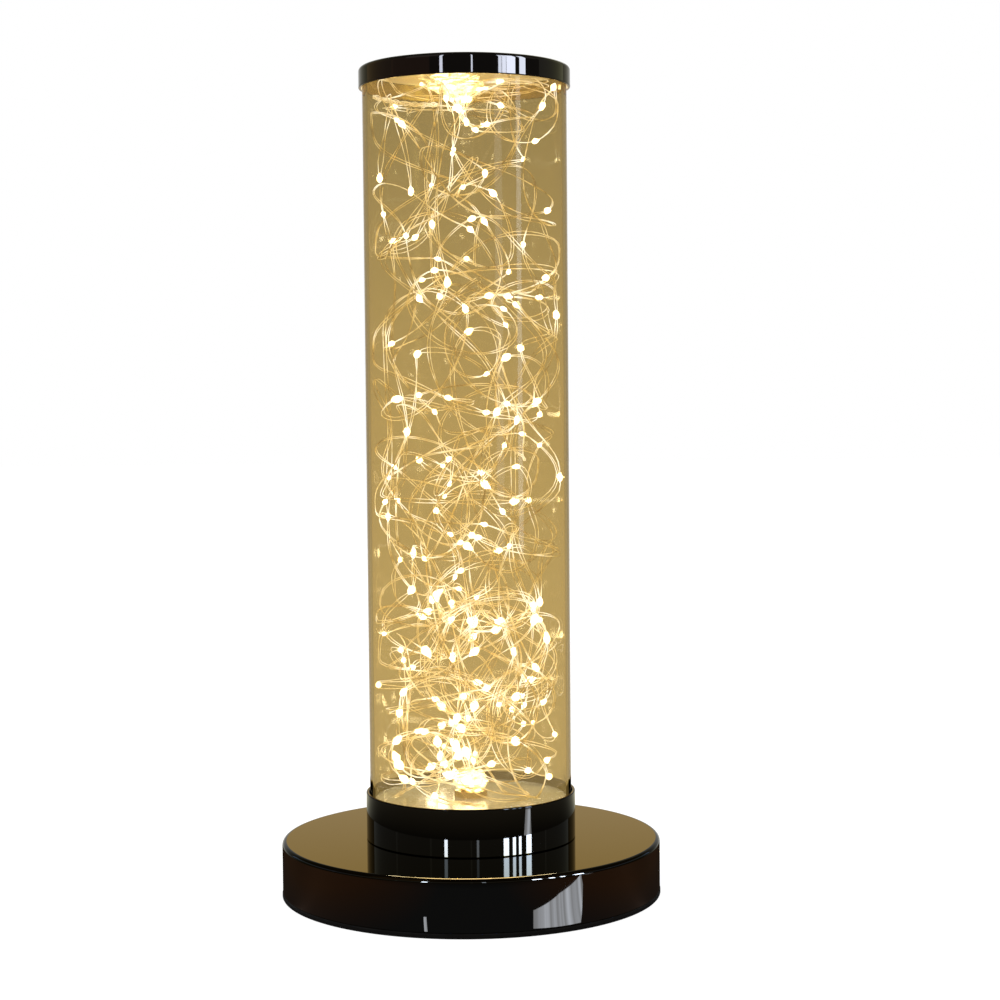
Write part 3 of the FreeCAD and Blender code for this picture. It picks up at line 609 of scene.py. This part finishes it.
def base_shell():
    """Spun shell with a rounded top edge, open below, drilled for the switch and the grommet."""
    radius, low, high = reach("base_shell"), bottom("base_shell"), top("base_shell")
    inner = radius - SHELL_SHEET
    shape = turned(
        [
            (NIPPLE_HOLE, high - SHELL_SHEET, 0),
            (inner, high - SHELL_SHEET, 0.8 * MM),
            (inner, low, 0),
            (radius, low, 0.3 * MM),
            (radius, high, SHELL_EDGE),
            (NIPPLE_HOLE, high, 0),
        ],
        steps=240,
    )
    mesh = finished_mesh("base_shell", shape)
    mesh = drilled(mesh, SWITCH_HOLE, 0)
    mesh = drilled(mesh, GROMMET_HOLE, GROMMET_ANGLE)
    # Flats, walls and rounded edges get copies of the nickel whose reflections are painted apart.
    painted_reflection_faces(mesh, 2)
    finishes = (NICKEL_FLATS_PAINTED_REFLECTION, NICKEL_WALLS_PAINTED_REFLECTION, NICKEL_EDGES_PAINTED_REFLECTION)
    return add_piece("mirror_base", mesh, finishes, ["base_shell"])


def foot():
    """Foam pad, a little wider than the base and softly rounded at its rim."""
    radius, height = reach("foot_pad"), top("foot_pad")
    corners = [(0, 0, 0), (radius, 0, 0.7 * MM), (radius, height, 0.9 * MM), (0, height, 0)]
    mesh = finished_mesh("foot", turned(corners, closed=False, steps=240))
    return add_piece("foam_foot", mesh, FOAM, ["foot_pad"])


def collar():
    """Turned cup with a softened rim."""
    radius, low, high = reach("collar"), bottom("collar"), top("collar")
    inner = radius - COLLAR_WALL
    corners = [
        (NIPPLE_HOLE, low, 0),
        (radius, low, 0.5 * MM),
        (radius, high, 0.5 * MM),
        (inner, high, 0.4 * MM),
        (inner, low + COLLAR_WALL, 0),
        (NIPPLE_HOLE, low + COLLAR_WALL, 0),
    ]
    mesh = finished_mesh("collar", turned(corners))
    # Flats, walls and rounded edges get copies of the nickel whose reflections are painted apart.
    painted_reflection_faces(mesh, 2)
    finishes = (NICKEL_FLATS_PAINTED_REFLECTION, NICKEL_WALLS_PAINTED_REFLECTION, NICKEL_EDGES_PAINTED_REFLECTION)
    return add_piece("mirror_collar", mesh, finishes, ["collar"])


def cap():
    """Spun cap with a rounded top edge, black outside with painted reflections, and bare satin metal
    inside with a painted glow.
    """
    radius, low, high = reach("top_cap"), bottom("top_cap"), top("top_cap")
    inner, ceiling = radius - CAP_SHEET, high - CAP_SHEET
    corners = [
        (0, ceiling, 0),
        (inner, ceiling, 0.6 * MM),
        (inner, low, 0.3 * MM),
        (radius, low, 0.45 * MM),
        (radius, high, CAP_EDGE),
        (0, high, 0),
    ]
    mesh = finished_mesh("cap", turned(corners, closed=False))
    # Flats and sides get copies of the nickel whose reflections are painted apart.
    painted_reflection_faces(mesh, 1)
    finishes = (NICKEL_FLATS_PAINTED_REFLECTION, NICKEL_CAP_PAINTED_REFLECTION, BARE_PAINTED_GLOW)
    piece = add_piece("mirror_cap", mesh, finishes, ["top_cap"])
    # The inside faces get the bare metal with its painted glow.
    for face in mesh.polygons:
        if math.hypot(*face.center[:2]) < inner + 0.1 * MM and face.center.z < ceiling + 0.1 * MM:
            face.material_index = 2
    return piece


def tube():
    radius, low, high = reach("tube"), bottom("tube"), top("tube")
    inner, soft = radius - TUBE_WALL, 0.4 * MM
    corners = [(inner, low, soft), (radius, low, soft), (radius, high, soft), (inner, high, soft)]
    mesh = finished_mesh("tube", turned(corners))
    for face in mesh.polygons:
        face.material_index = int(math.hypot(*face.center[:2]) < inner + 0.1 * MM)
    return add_piece("clear_tube", mesh, (GLASS, GLASS_BORE_PAINTED_GLOW), ["tube"])


def tube_floor():
    """Polished disc just under the collar's rim."""
    radius, low, high = reach("tube_floor"), bottom("tube_floor"), top("tube_floor")
    corners = [
        (NIPPLE_HOLE, low, 0),
        (radius, low, 0),
        (radius, high, 0.35 * MM),
        (NIPPLE_HOLE, high, 0),
    ]
    mesh = finished_mesh("tube_floor", turned(corners))
    return add_piece("bright_floor", mesh, POLISHED_PAINTED_GLOW, ["tube_floor"])


def glue_lump(name, node, spread, sink, skirt):
    """Uneven lump of set glue about its CAD solid, a little wider, with lobes on its free side.

    The skirt is how far the glue has run down on the other side, over what the string comes from.
    """
    low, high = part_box(node)
    middle, half = (low + high) / 2, (high - low) / 2
    half.xy *= spread
    shape = bmesh.new()
    bmesh.ops.create_icosphere(shape, subdivisions=5, radius=1.0)
    for spot in shape.verts:
        swell = 0.86 + 0.34 * noise.noise(spot.co * 1.7 + middle * 50)
        swell += 0.16 * noise.noise(spot.co * 3.6) + 0.05 * noise.noise(spot.co * 12)
        free = max(0.0, -spot.co.z * sink)
        place = spot.co * min(swell, 1.0)
        place.z -= sink * free * (0.3 + 0.9 * max(0.0, noise.noise(spot.co * 2.6)))
        run = max(0.0, spot.co.z * sink) * skirt
        place = Vector((place.x * half.x, place.y * half.y, place.z * half.z + sink * run))
        spot.co = place + middle
    return add_piece(name, finished_mesh(name, shape, 80), GLUE_PAINTED_GLOW, [node])


def perpendicular(direction):
    """A direction square to another."""
    other = Vector((1, 0, 0)) if abs(direction.x) < 0.8 else Vector((0, 1, 0))
    return direction.cross(other).normalized()


def loose_path(chance, start, finish, roam, low, high):
    """Places along one tangled string every WALK_STEP, and the numbers of those that hold beads.

    The string keeps curling, and its curl turns and changes size as it goes. It bends sharply at
    a bead. It is steered away from the glass and towards a height that climbs slowly at first, so
    the lower part holds more.
    """
    place, along = start.copy(), UP.copy()
    curl = Quaternion(along, chance.uniform(0, math.tau)) @ perpendicular(along)
    twist, bend = 0.0, 28 * MM
    waves = [
        (chance.uniform(3.5, 9.5), chance.uniform(0, math.tau), chance.uniform(14, 34) * MM)
        for _ in range(3)
    ]
    places, marks = [place.copy()], []
    mark = BEAD_PITCH * chance.uniform(0.3, 0.6)
    count = round(STRING_LENGTH / WALK_STEP)
    for number in range(count):
        share = number / count
        level = low + (high - low) * share**1.25
        level += sum(size * math.sin(math.tau * turns * share + lag) for turns, lag, size in waves)
        level = min(max(level, low), high)
        distance = math.hypot(place.x, place.y)
        steer = UP * (level - place.z) * LEVEL_PULL
        if distance > roam * WALL_ZONE:
            inwards = Vector((place.x, place.y, 0)) / -distance
            steer += inwards * ((distance / roam - WALL_ZONE) / (1 - WALL_ZONE)) ** 2 * WALL_PUSH
        if place.z > high - 12 * MM and along.z > 0:
            steer -= UP * END_PUSH
        if place.z < low + 10 * MM and along.z < 0:
            steer += UP * END_PUSH
        turn = curl / bend + steer - along * steer.dot(along)
        if turn.length > SHARPEST_BEND:
            turn = turn.normalized() * SHARPEST_BEND
        along = (along + turn * WALK_STEP).normalized()
        if number * WALK_STEP > mark:
            marks.append(number)
            mark += BEAD_PITCH * chance.uniform(0.8, 1.2)
            along = Quaternion(curl, chance.choice((-1, 1)) * chance.uniform(0.2, 1.0)) @ along
        place = place + along * WALK_STEP
        distance = math.hypot(place.x, place.y)
        if distance > roam:
            place.x *= roam / distance
            place.y *= roam / distance
        place.z = min(max(place.z, low), high)
        if chance.random() < WALK_STEP / (60 * MM):
            curl = Quaternion(along, chance.gauss(0, 1.3)) @ curl
            bend = chance.uniform(14, 60) * MM
        twist = twist * 0.97 + chance.gauss(0, 1.7)
        curl = Quaternion(along, twist * WALK_STEP) @ curl
        curl = (curl - along * curl.dot(along)).normalized()
        places.append(place.copy())
    hook = 30 * MM
    ahead = place + along * hook
    ahead.z = min(ahead.z, high)
    places += geometry.interpolate_bezier(
        place, ahead, finish - UP * hook, finish, round(hook * 2 / WALK_STEP)
    )[1:]
    inner = [(a + b * 2 + c) / 4 for a, b, c in zip(places, places[1:], places[2:])]
    return [places[0], *inner, places[-1]], marks


def wire_pair_paths(path, bead_marks, lag):
    """Two strands beside a path, which twist and part unevenly and close up at each bead."""
    strands = ([], [])
    side = perpendicular((path[1] - path[0]).normalized())
    for number, place in enumerate(path):
        along = (path[min(number + 1, len(path) - 1)] - path[max(number - 1, 0)]).normalized()
        drift = noise.noise(Vector((number * 0.07, lag, 0)))
        part = abs(noise.noise(Vector((number * 0.1, lag, 9))))
        side = Quaternion(along, (12 + 90 * drift) * WALK_STEP) @ side
        side = (side - along * side.dot(along)).normalized()
        nearest = min((abs(number - mark) for mark in bead_marks), default=99)
        gap = PAIR_SPREAD * min(0.22 + 1.6 * part, 1.0) * min(1.0, 0.2 + 0.35 * nearest)
        strands[0].append(place + side * gap)
        strands[1].append(place - side * gap)
    return strands


def twisted_tail(chance):
    """Spare wire twisted into a short rope from the upper glue out to the glass, and its ends.

    Returns the strands, and the two ends that hang down the glass to their last beads.
    """
    length = (ROPE_END - ROPE_START).length
    along = (ROPE_END - ROPE_START) / length
    side = perpendicular(along)
    strands = []
    for _ in range(ROPE_STRANDS):
        lag, radius = chance.uniform(0, math.tau), chance.uniform(0.4, 1.3) * MM
        strand = []
        for step in range(ROPE_STEPS + 1):
            share = step / ROPE_STEPS
            turn = Quaternion(along, lag + share * length / (9 * MM) * math.tau)
            sag = UP * -1.5 * MM * math.sin(math.pi * share)
            strand.append(ROPE_START + along * length * share + (turn @ side) * radius + sag)
        strands.append(strand)
    hanging = []
    for drop in ((-30, -24, 395, -41, -14, 352), (-37, -12, 395, -26, -20, 345)):
        bend, far = Vector(drop[:3]) * MM, Vector(drop[3:]) * MM
        fork = ROPE_END.lerp(ROPE_START, 0.2)
        hanging.append(geometry.interpolate_bezier(fork, bend, far + UP * 20 * MM, far, 16))
    return strands, hanging


def tangled_strings(start, finish, roam, low, high):
    """Strand paths of the light string, the (place, direction, size) of its beads, and places that
    paint glow on the wires.

    These lie just over the rope, whose wires get a painted glow that stands for the light under the
    bright cap.
    """
    strands, drops = [], []
    for number, seed in enumerate(STRING_SEEDS):
        chance = random.Random(seed)
        angle = math.tau * number / len(STRING_SEEDS)
        spread = Vector((math.cos(angle), math.sin(angle), 0)) * MM
        path, marks = loose_path(chance, start + spread * 2, finish + spread * 5, roam, low, high)
        marks += [2 + number, 7 + number, 13 + 2 * number]
        marks += [len(path) - 2 - number % 2, len(path) - 5 - number % 3, len(path) - 9 - number % 2]
        strands += wire_pair_paths(path, marks, seed * 3.7)
        for mark in marks:
            along = (path[mark + 1] - path[mark - 1]).normalized()
            size = chance.uniform(0.7, 1.3) * (1.2 - 0.38 * path[mark].z / high)
            drops.append((path[mark].copy(), along, size))
    tail, hanging = twisted_tail(random.Random(1))
    strands += tail
    for number, path in enumerate(hanging):
        strands += wire_pair_paths(path, [len(path) - 1], number + 0.5)
        drops.append((path[-1].copy(), (path[-1] - path[-2]).normalized(), 1.0))
    return strands, drops, [spot + UP * 7 * MM for spot in tail[0][::8]]


def drawn_wire(name, paths, radius):
    """A mesh of round wires that follow paths, drawn as a bevelled curve."""
    curve = bpy.data.curves.new(name, "CURVE")
    curve.dimensions = "3D"
    curve.bevel_depth = radius
    curve.bevel_resolution = 1
    curve.use_fill_caps = True
    for path in paths:
        spline = curve.splines.new("POLY")
        spline.points.add(len(path) - 1)
        for point, place in zip(spline.points, path):
            point.co = (*place, 1)
    thing = bpy.data.objects.new(name, curve)
    bpy.context.scene.collection.objects.link(thing)
    graph = bpy.context.evaluated_depsgraph_get()
    mesh = bpy.data.meshes.new_from_object(thing.evaluated_get(graph))
    bpy.data.objects.remove(thing)
    bpy.data.curves.remove(curve)
    mesh.polygons.foreach_set("use_smooth", [True] * len(mesh.polygons))
    return mesh


def add_drop(shape, place, along, radius, length, detail):
    """One drop that lies along the string, full at its front and drawn out to a tail."""
    if detail:
        made = bmesh.ops.create_uvsphere(shape, u_segments=8, v_segments=6, radius=1.0)["verts"]
    else:
        made = bmesh.ops.create_icosphere(shape, subdivisions=1, radius=1.0)["verts"]
    for spot in made:
        front, back = max(0.0, spot.co.z), max(0.0, -spot.co.z)
        spot.co *= 1 + 0.34 * noise.noise(spot.co * 1.8 + place * 300)
        spot.co.xy *= 1 - 0.65 * back**2 - 0.3 * front**2
        spot.co.z += 0.2 * front - 0.6 * back
    turn = along.to_track_quat("Z", "Y").to_matrix().to_4x4()
    size = Matrix.Diagonal((radius, radius, length / 2, 1))
    bmesh.ops.transform(shape, matrix=Matrix.Translation(place) @ turn @ size, verts=made)


def mark_near_lamps(mesh, places):
    """Keep on each point of the wires how near the closest light is, up to 1 where they touch."""
    lamps = kdtree.KDTree(len(places))
    for number, place in enumerate(places):
        lamps.insert(place, number)
    lamps.balance()
    near = [1 / (1 + (lamps.find(spot.co)[2] / GLOW_REACH) ** 2) for spot in mesh.vertices]
    mesh.attributes.new("near_lamp", "FLOAT", "POINT").data.foreach_set("value", near)


def light_string():
    """The tangled strings, their resin beads and the lamp chips in them."""
    roam = reach("tube") - TUBE_WALL - PAIR_SPREAD - WIRE_RADIUS
    low = top("tube_floor") + BEAD_RADIUS * 1.2
    high = top("tube") - BEAD_RADIUS
    start = Vector((0, 0, top("lower_glue") - 2 * MM))
    middle = (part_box("upper_glue")[0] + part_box("upper_glue")[1]) / 2
    finish = Vector((middle.x, middle.y, bottom("upper_glue") + 3 * MM))
    strands, drops, glow = tangled_strings(start, finish, roam, low, high)
    beads, chips = bmesh.new(), bmesh.new()
    for place, along, size in drops:
        widest = reach("tube") - TUBE_WALL - BEAD_RADIUS * size * 1.1
        if math.hypot(place.x, place.y) > widest:
            place.xy *= widest / math.hypot(place.x, place.y)
        add_drop(beads, place, along, BEAD_RADIUS * size, BEAD_LENGTH * size, True)
        add_drop(chips, place, along, CHIP_RADIUS, CHIP_RADIUS * 2.6, False)
    wires = drawn_wire("wires", strands, WIRE_RADIUS)
    # The wires' painted glow is strongest near the beads and near the places over the rope.
    mark_near_lamps(wires, [drop[0] for drop in drops] + glow)
    add_piece("string_wires", wires, COPPER_PAINTED_GLOW, ["string_wire"])
    add_piece("resin_beads", finished_mesh("beads", beads, 80), RESIN, ["led_beads"])
    add_piece("lamp_chips", finished_mesh("chips", chips, 80), CHIP, [])


def node_finishes():
    """Materials of the CAD nodes that show as they are."""
    finishes = {
        "bottom_plate": ZINC,
        "base_posts": ZINC,
        "ballast": IRON,
        "nipple": BRASS,
        "shell_nut": BRASS,
        "floor_spacer": BRASS,
        "floor_nut": BRASS,
        "tube_pads": RUBBER,
        "cap_pads": RUBBER,
        "driver_board": BOARD,
        "board_spacers": NYLON,
        "transformer": WINDING,
        "terminal_blocks": TERMINAL,
        "feed_lead": VINYL,
        "switch_lead": VINYL,
        "switch_barrel": PLASTIC,
        "switch_nut": BRASS,
        "switch_back": PLASTIC,
        "switch_spring": STEEL,
        "switch_button": BUTTON,
        "cord_grommet": RUBBER,
    }
    for node, material in finishes.items():
        mesh = frame["nodes"][node].data
        mesh.materials.clear()
        mesh.materials.append(material)


def springy_coil():
    """Give the switch's spring its own copy of its mesh."""
    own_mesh(frame["nodes"]["switch_spring"])


# Stage


def seen_white(tree, mixer):
    """Set a mixer by the rays that see the white background: camera, mirror and glass."""
    rays = tree.nodes.new("ShaderNodeLightPath").outputs
    seen = figure(tree, "MAXIMUM", rays["Is Camera Ray"], rays["Is Glossy Ray"])
    seen = figure(tree, "MAXIMUM", seen, rays["Is Transmission Ray"])
    tree.links.new(seen, mixer.inputs["Fac"])


def white_world():
    world = bpy.data.worlds.new("white_room")
    bpy.context.scene.world = world
    world.use_nodes = True
    tree = world.node_tree
    ambient = tree.nodes["Background"]
    ambient.inputs["Color"].default_value = (1, 1, 1, 1)
    ambient.inputs["Strength"].default_value = 0.45
    white = add_node(tree, "ShaderNodeBackground", Color=(1, 1, 1, 1), Strength=1.0)
    mixer = tree.nodes.new("ShaderNodeMixShader")
    seen_white(tree, mixer)
    tree.links.new(ambient.outputs[0], mixer.inputs[1])
    tree.links.new(white.outputs[0], mixer.inputs[2])
    tree.links.new(mixer.outputs[0], tree.nodes["World Output"].inputs["Surface"])


def pale_table():
    """Wide pale floor that is white where it is lit and keeps the lamp's shadow."""
    shape = bmesh.new()
    bmesh.ops.create_grid(shape, x_segments=1, y_segments=1, size=6)
    mesh = bpy.data.meshes.new("table")
    shape.to_mesh(mesh)
    shape.free()
    table = bpy.data.objects.new("table", mesh)
    bpy.context.scene.collection.objects.link(table)
    table.location.z = -0.2 * MM
    material, tree, surface = own_surface("pale_table")
    plain = add_node(tree, "ShaderNodeBsdfDiffuse", Color=(0.75, 0.75, 0.75, 1))
    shaded = add_node(tree, "ShaderNodeBsdfDiffuse", Color=(0.3, 0.3, 0.3, 1))
    glow = add_node(tree, "ShaderNodeEmission", Color=(1, 1, 1, 1), Strength=0.9)
    both = tree.nodes.new("ShaderNodeAddShader")
    mixer = tree.nodes.new("ShaderNodeMixShader")
    tree.links.new(shaded.outputs[0], both.inputs[0])
    tree.links.new(glow.outputs[0], both.inputs[1])
    seen_white(tree, mixer)
    tree.links.new(plain.outputs[0], mixer.inputs[1])
    tree.links.new(both.outputs[0], mixer.inputs[2])
    tree.links.new(mixer.outputs[0], surface)
    mesh.materials.append(material)


def area_light(name, place, target, size, power, colour=(1, 1, 1), receivers=None):
    """A rectangular light that faces a point, and may light only some pieces."""
    lamp = bpy.data.lights.new(name, "AREA")
    lamp.shape = "RECTANGLE"
    lamp.size, lamp.size_y = size
    lamp.energy = power
    lamp.color = colour
    light = bpy.data.objects.new(name, lamp)
    bpy.context.scene.collection.objects.link(light)
    light.location = place
    light.rotation_mode = "QUATERNION"
    light.rotation_quaternion = (Vector(target) - Vector(place)).to_track_quat("-Z", "Y")
    light.visible_camera = False
    if receivers:
        light.light_linking.receiver_collection = receivers
    return light


def upright_light(name, turn, wide, radiance, height, level, colour, receivers):
    """A tall light at a bearing round the lamp, as wide as an angle, for some pieces only."""
    angle, width = math.radians(turn), math.radians(wide) * WINDOW_DISTANCE
    place = Vector((math.sin(angle), -math.cos(angle), 0)) * WINDOW_DISTANCE + UP * level
    power = radiance * math.pi * width * height
    area_light(name, place, (0, 0, level), (width, height), power, colour, receivers)


def window_lights(finishes):
    """Window panes and dim room light round the front, which only the metal and the glass show.

    Each pane has its bearing, its width in degrees and its radiance. Each kind of pane has its
    height, its level and its tint.
    """
    panes = {
        "cap": (
            (-24.2, 3.2, 170), (8, 1.6, 170), (38, 3.6, 185), (42.6, 4.6, 215), (50.4, 10.2, 240),
            (64.2, 7.6, 210),
        ),
        "collar": (
            (-27, 3.4, 150), (7, 2.4, 40), (37.8, 5.8, 1100), (47, 3.5, 1100), (53.9, 3, 1100),
            (64.7, 6.4, 1300),
        ),
        "base": (
            (-27, 3.4, 1600), (7, 2.4, 150), (37.8, 5.8, 2000), (47, 3.5, 2000), (53.9, 3, 2000),
            (64.7, 6.4, 2300),
        ),
        "tube": ((36.5, 8.5, 3), (60.8, 6, 8)),
    }
    looks = {
        "cap": (1.3, 0.7, (0.75, 0.93, 1.25)),
        "collar": (0.36, 0.37, (0.38, 0.79, 3.0)),
        "base": (0.36, 0.37, (0.5, 0.95, 3.2)),
        "tube": (1.3, 0.7, (0.9, 0.96, 1)),
    }
    for kind, (height, level, tint) in looks.items():
        for turn, wide, radiance in panes[kind]:
            name = f"window_{kind}_{turn}"
            upright_light(name, turn, wide, radiance, height, level, tint, finishes[kind])
    wide, radiance, tint = 48, 6, (0.5, 0.85, 2.1)
    for kind in ("base", "collar"):
        height, level = looks[kind][:2]
        for turn in (-110, -66, -22, 22, 66, 110):
            name = f"dim_{kind}_{turn}"
            upright_light(name, turn, wide, radiance, height, level, tint, finishes[kind])
    room = ((-60, 1.2, (1, 0.5, 0.3)), (-105, 1.1, (1, 0.6, 0.35)), (110, 1.6, (0.95, 1.05, 1.0)))
    for turn, radiance, colour in room:
        upright_light(f"room_{turn}", turn, 49, radiance, 1.3, 0.8, colour, finishes["cap"])


def string_glow(shell):
    """Warm light of the string, spread up the tube, and its glint on the base's rounded edge."""
    low, high = bottom("lower_glue") + 8 * MM, bottom("upper_glue") - 2 * MM
    lamps, glints, glint_radiance = 7, 16, 520
    for number in range(lamps):
        lamp = bpy.data.lights.new(f"string_glow_{number}", "POINT")
        highest = number == lamps - 1
        lamp.energy = 0.018 if highest else 0.03
        lamp.color = (1.0, 0.9, 0.68)
        lamp.shadow_soft_size = 12 * MM
        light = bpy.data.objects.new(lamp.name, lamp)
        bpy.context.scene.collection.objects.link(light)
        light.location = (32 * MM * highest, 0, low + (high - low) * number / (lamps - 1))
        light.visible_camera = False
        light.visible_glossy = False
        light.visible_transmission = False
    middle = (low + high) / 2
    for number in range(glints):
        turn = math.tau * number / glints
        outwards = Vector((math.sin(turn), -math.cos(turn), 0))
        place = outwards * (reach("collar") + 1 * MM) + UP * middle
        size = (22 * MM, high - low)
        power = glint_radiance * math.pi * size[0] * size[1]
        glint = area_light(
            f"string_glint_{number}", place, place + outwards, size, power, (1.0, 0.9, 0.74), shell
        )
        glint.data.spread = math.radians(140)


def window_streaks():
    """Glow of a low window, streaked upright by its blinds."""
    material, tree, surface = own_surface("low_window")
    place = tree.nodes.new("ShaderNodeTexCoord")
    centre = add_node(tree, "ShaderNodeMapping", Location=(0, STREAK_CENTRE_AHEAD, 0))
    parts = tree.nodes.new("ShaderNodeSeparateXYZ")
    streaks = add_node(tree, "ShaderNodeTexNoise", noise_dimensions="1D", Scale=9.0, Detail=3.0)
    glow = add_node(tree, "ShaderNodeEmission", Strength=95.0)
    tree.links.new(place.outputs["Object"], centre.inputs["Vector"])
    tree.links.new(centre.outputs["Vector"], parts.inputs["Vector"])
    turn = figure(tree, "ARCTAN2", parts.outputs["X"], parts.outputs["Y"])
    tree.links.new(turn, streaks.inputs["W"])
    shade = ramp(
        tree, streaks.outputs["Fac"], (0.36, (0.3, 0.35, 0.4)), (0.66, (0.85, 1.05, 1.3))
    )
    tree.links.new(shade, glow.inputs["Color"])
    tree.links.new(glow.outputs[0], surface)
    return material


def dim_room():
    """Glow of the dim room: near the base neutral in front, warm aside, dark at the rear corners.

    Further out, where only the collar sees it, it brightens slowly.
    """
    material, tree, surface = own_surface("dim_room")
    links = tree.links
    place = tree.nodes.new("ShaderNodeTexCoord")
    parts = tree.nodes.new("ShaderNodeSeparateXYZ")
    links.new(place.outputs["Object"], parts.inputs["Vector"])
    across, ahead = figure(tree, "ABSOLUTE", parts.outputs["X"]), parts.outputs["Y"]
    wide = add_node(tree, "ShaderNodeMapRange", From_Min=45 * MM, From_Max=140 * MM)
    links.new(across, wide.inputs["Value"])
    shade = ramp(tree, wide.outputs["Result"], (0.0, (0.85, 1.0, 1.1)), (1.0, (2.6, 1.35, 0.7)))
    beside = add_node(tree, "ShaderNodeMapRange", From_Min=60 * MM, From_Max=95 * MM)
    links.new(across, beside.inputs["Value"])
    behind = figure(tree, "ADD", ahead, ROOM_PIVOT_AHEAD)
    outside = figure(tree, "SUBTRACT", across, ROOM_PIVOT_ASIDE)
    turn = figure(tree, "MAXIMUM", figure(tree, "ARCTAN2", behind, outside), 0.0)
    turn = figure(tree, "MULTIPLY", turn, beside.outputs["Result"])
    fall = figure(tree, "POWER", ROOM_FALL, figure(tree, "MULTIPLY", turn, turn))
    nearby = add_node(tree, "ShaderNodeEmission")
    links.new(shade, nearby.inputs["Color"])
    links.new(fall, nearby.inputs["Strength"])
    length = add_node(tree, "ShaderNodeVectorMath", operation="LENGTH")
    far = add_node(tree, "ShaderNodeMapRange", From_Min=188 * MM, From_Max=212 * MM)
    fade = add_node(
        tree, "ShaderNodeMapRange", From_Min=205 * MM, From_Max=290 * MM, To_Min=0.2, To_Max=1.1
    )
    distant = add_node(tree, "ShaderNodeEmission", Color=(1.4, 1.35, 1.0, 1))
    both = tree.nodes.new("ShaderNodeMixShader")
    links.new(place.outputs["Object"], length.inputs[0])
    links.new(length.outputs["Value"], far.inputs["Value"])
    links.new(length.outputs["Value"], fade.inputs["Value"])
    links.new(fade.outputs["Result"], distant.inputs["Strength"])
    links.new(far.outputs["Result"], both.inputs["Fac"])
    links.new(nearby.outputs[0], both.inputs[1])
    links.new(distant.outputs[0], both.inputs[2])
    links.new(both.outputs[0], surface)
    return material


def low_window_cards(receivers):
    """Cards on the table, seen only in the dark walls: a low window, its neighbours and the room."""
    shape = bmesh.new()
    wide = ((35, -99), (55, -126), (100, -129), (152, -119.5), (132, -108.6), (61, -83.5))
    slim = ((-26.8, -100.7), (-25, -101), (-37.7, -124.8), (-39.9, -123.8))
    tall = ((165, -128), (183, -102), (252, -134), (240, -160))
    for corners in (wide, slim, tall):
        shape.faces.new([shape.verts.new((x * MM, y * MM, CARD_LEVEL)) for x, y in corners])
    room = Matrix.Translation((0, 0, ROOM_LEVEL))
    made = bmesh.ops.create_circle(
        shape, cap_ends=True, segments=64, radius=ROOM_RADIUS, matrix=room
    )
    for face in made["verts"][0].link_faces:
        face.material_index = 1
    mesh = bpy.data.meshes.new("low_window")
    shape.to_mesh(mesh)
    shape.free()
    card = bpy.data.objects.new("low_window", mesh)
    bpy.context.scene.collection.objects.link(card)
    mesh.materials.append(window_streaks())
    mesh.materials.append(dim_room())
    card.visible_camera = False
    card.visible_diffuse = False
    card.visible_transmission = False
    card.visible_shadow = False
    card.light_linking.receiver_collection = receivers


def studio(finishes):
    white_world()
    pale_table()
    middle = (0, 0, (cad_low.z + cad_high.z) / 2)
    area_light("soft_left", (-1.3, -1.2, 1.5), middle, (1.4, 1.4), 16)
    area_light("soft_right", (1.5, -0.6, 1.2), middle, (1.0, 1.0), 6)
    area_light("soft_back", (0.3, 1.6, 1.6), middle, (1.2, 1.2), 10)
    window_lights(finishes)
    string_glow(finishes["base"])
    low_window_cards(finishes["dark"])


def camera():
    forward = Vector(
        (
            math.sin(CAMERA_YAW) * math.cos(CAMERA_DOWN),
            math.cos(CAMERA_YAW) * math.cos(CAMERA_DOWN),
            -math.sin(CAMERA_DOWN),
        )
    )
    right = forward.cross(UP).normalized()
    above = right.cross(forward)
    rolled_right = right * math.cos(CAMERA_ROLL) + above * math.sin(CAMERA_ROLL)
    rolled_up = above * math.cos(CAMERA_ROLL) - right * math.sin(CAMERA_ROLL)
    eye = bpy.data.cameras.new("camera")
    eye.lens = CAMERA_LENS
    eye.sensor_width = CAMERA_SENSOR
    thing = bpy.data.objects.new("camera", eye)
    bpy.context.scene.collection.objects.link(thing)
    axes = Matrix((rolled_right, rolled_up, -forward)).transposed()
    thing.matrix_world = Matrix.Translation(CAMERA_PLACE) @ axes.to_4x4()
    bpy.context.scene.camera = thing


node_finishes()
springy_coil()
foot()
finishes = {}
for part, piece in (("base", base_shell()), ("collar", collar()), ("cap", cap()), ("tube", tube())):
    finishes[part] = bpy.data.collections.new(part)
    finishes[part].objects.link(piece)
finishes["dark"] = bpy.data.collections.new("dark")
for part in ("base", "collar"):
    finishes["dark"].objects.link(finishes[part].objects[0])
tube_floor()
glue_lump("lower_glue_lump", "lower_glue", 1.3, -1, 3 * MM)
glue_lump("upper_glue_lump", "upper_glue", 1.3, 1, 0)
light_string()
camera()
studio(finishes)
bpy.context.scene.view_settings.view_transform = "Standard"
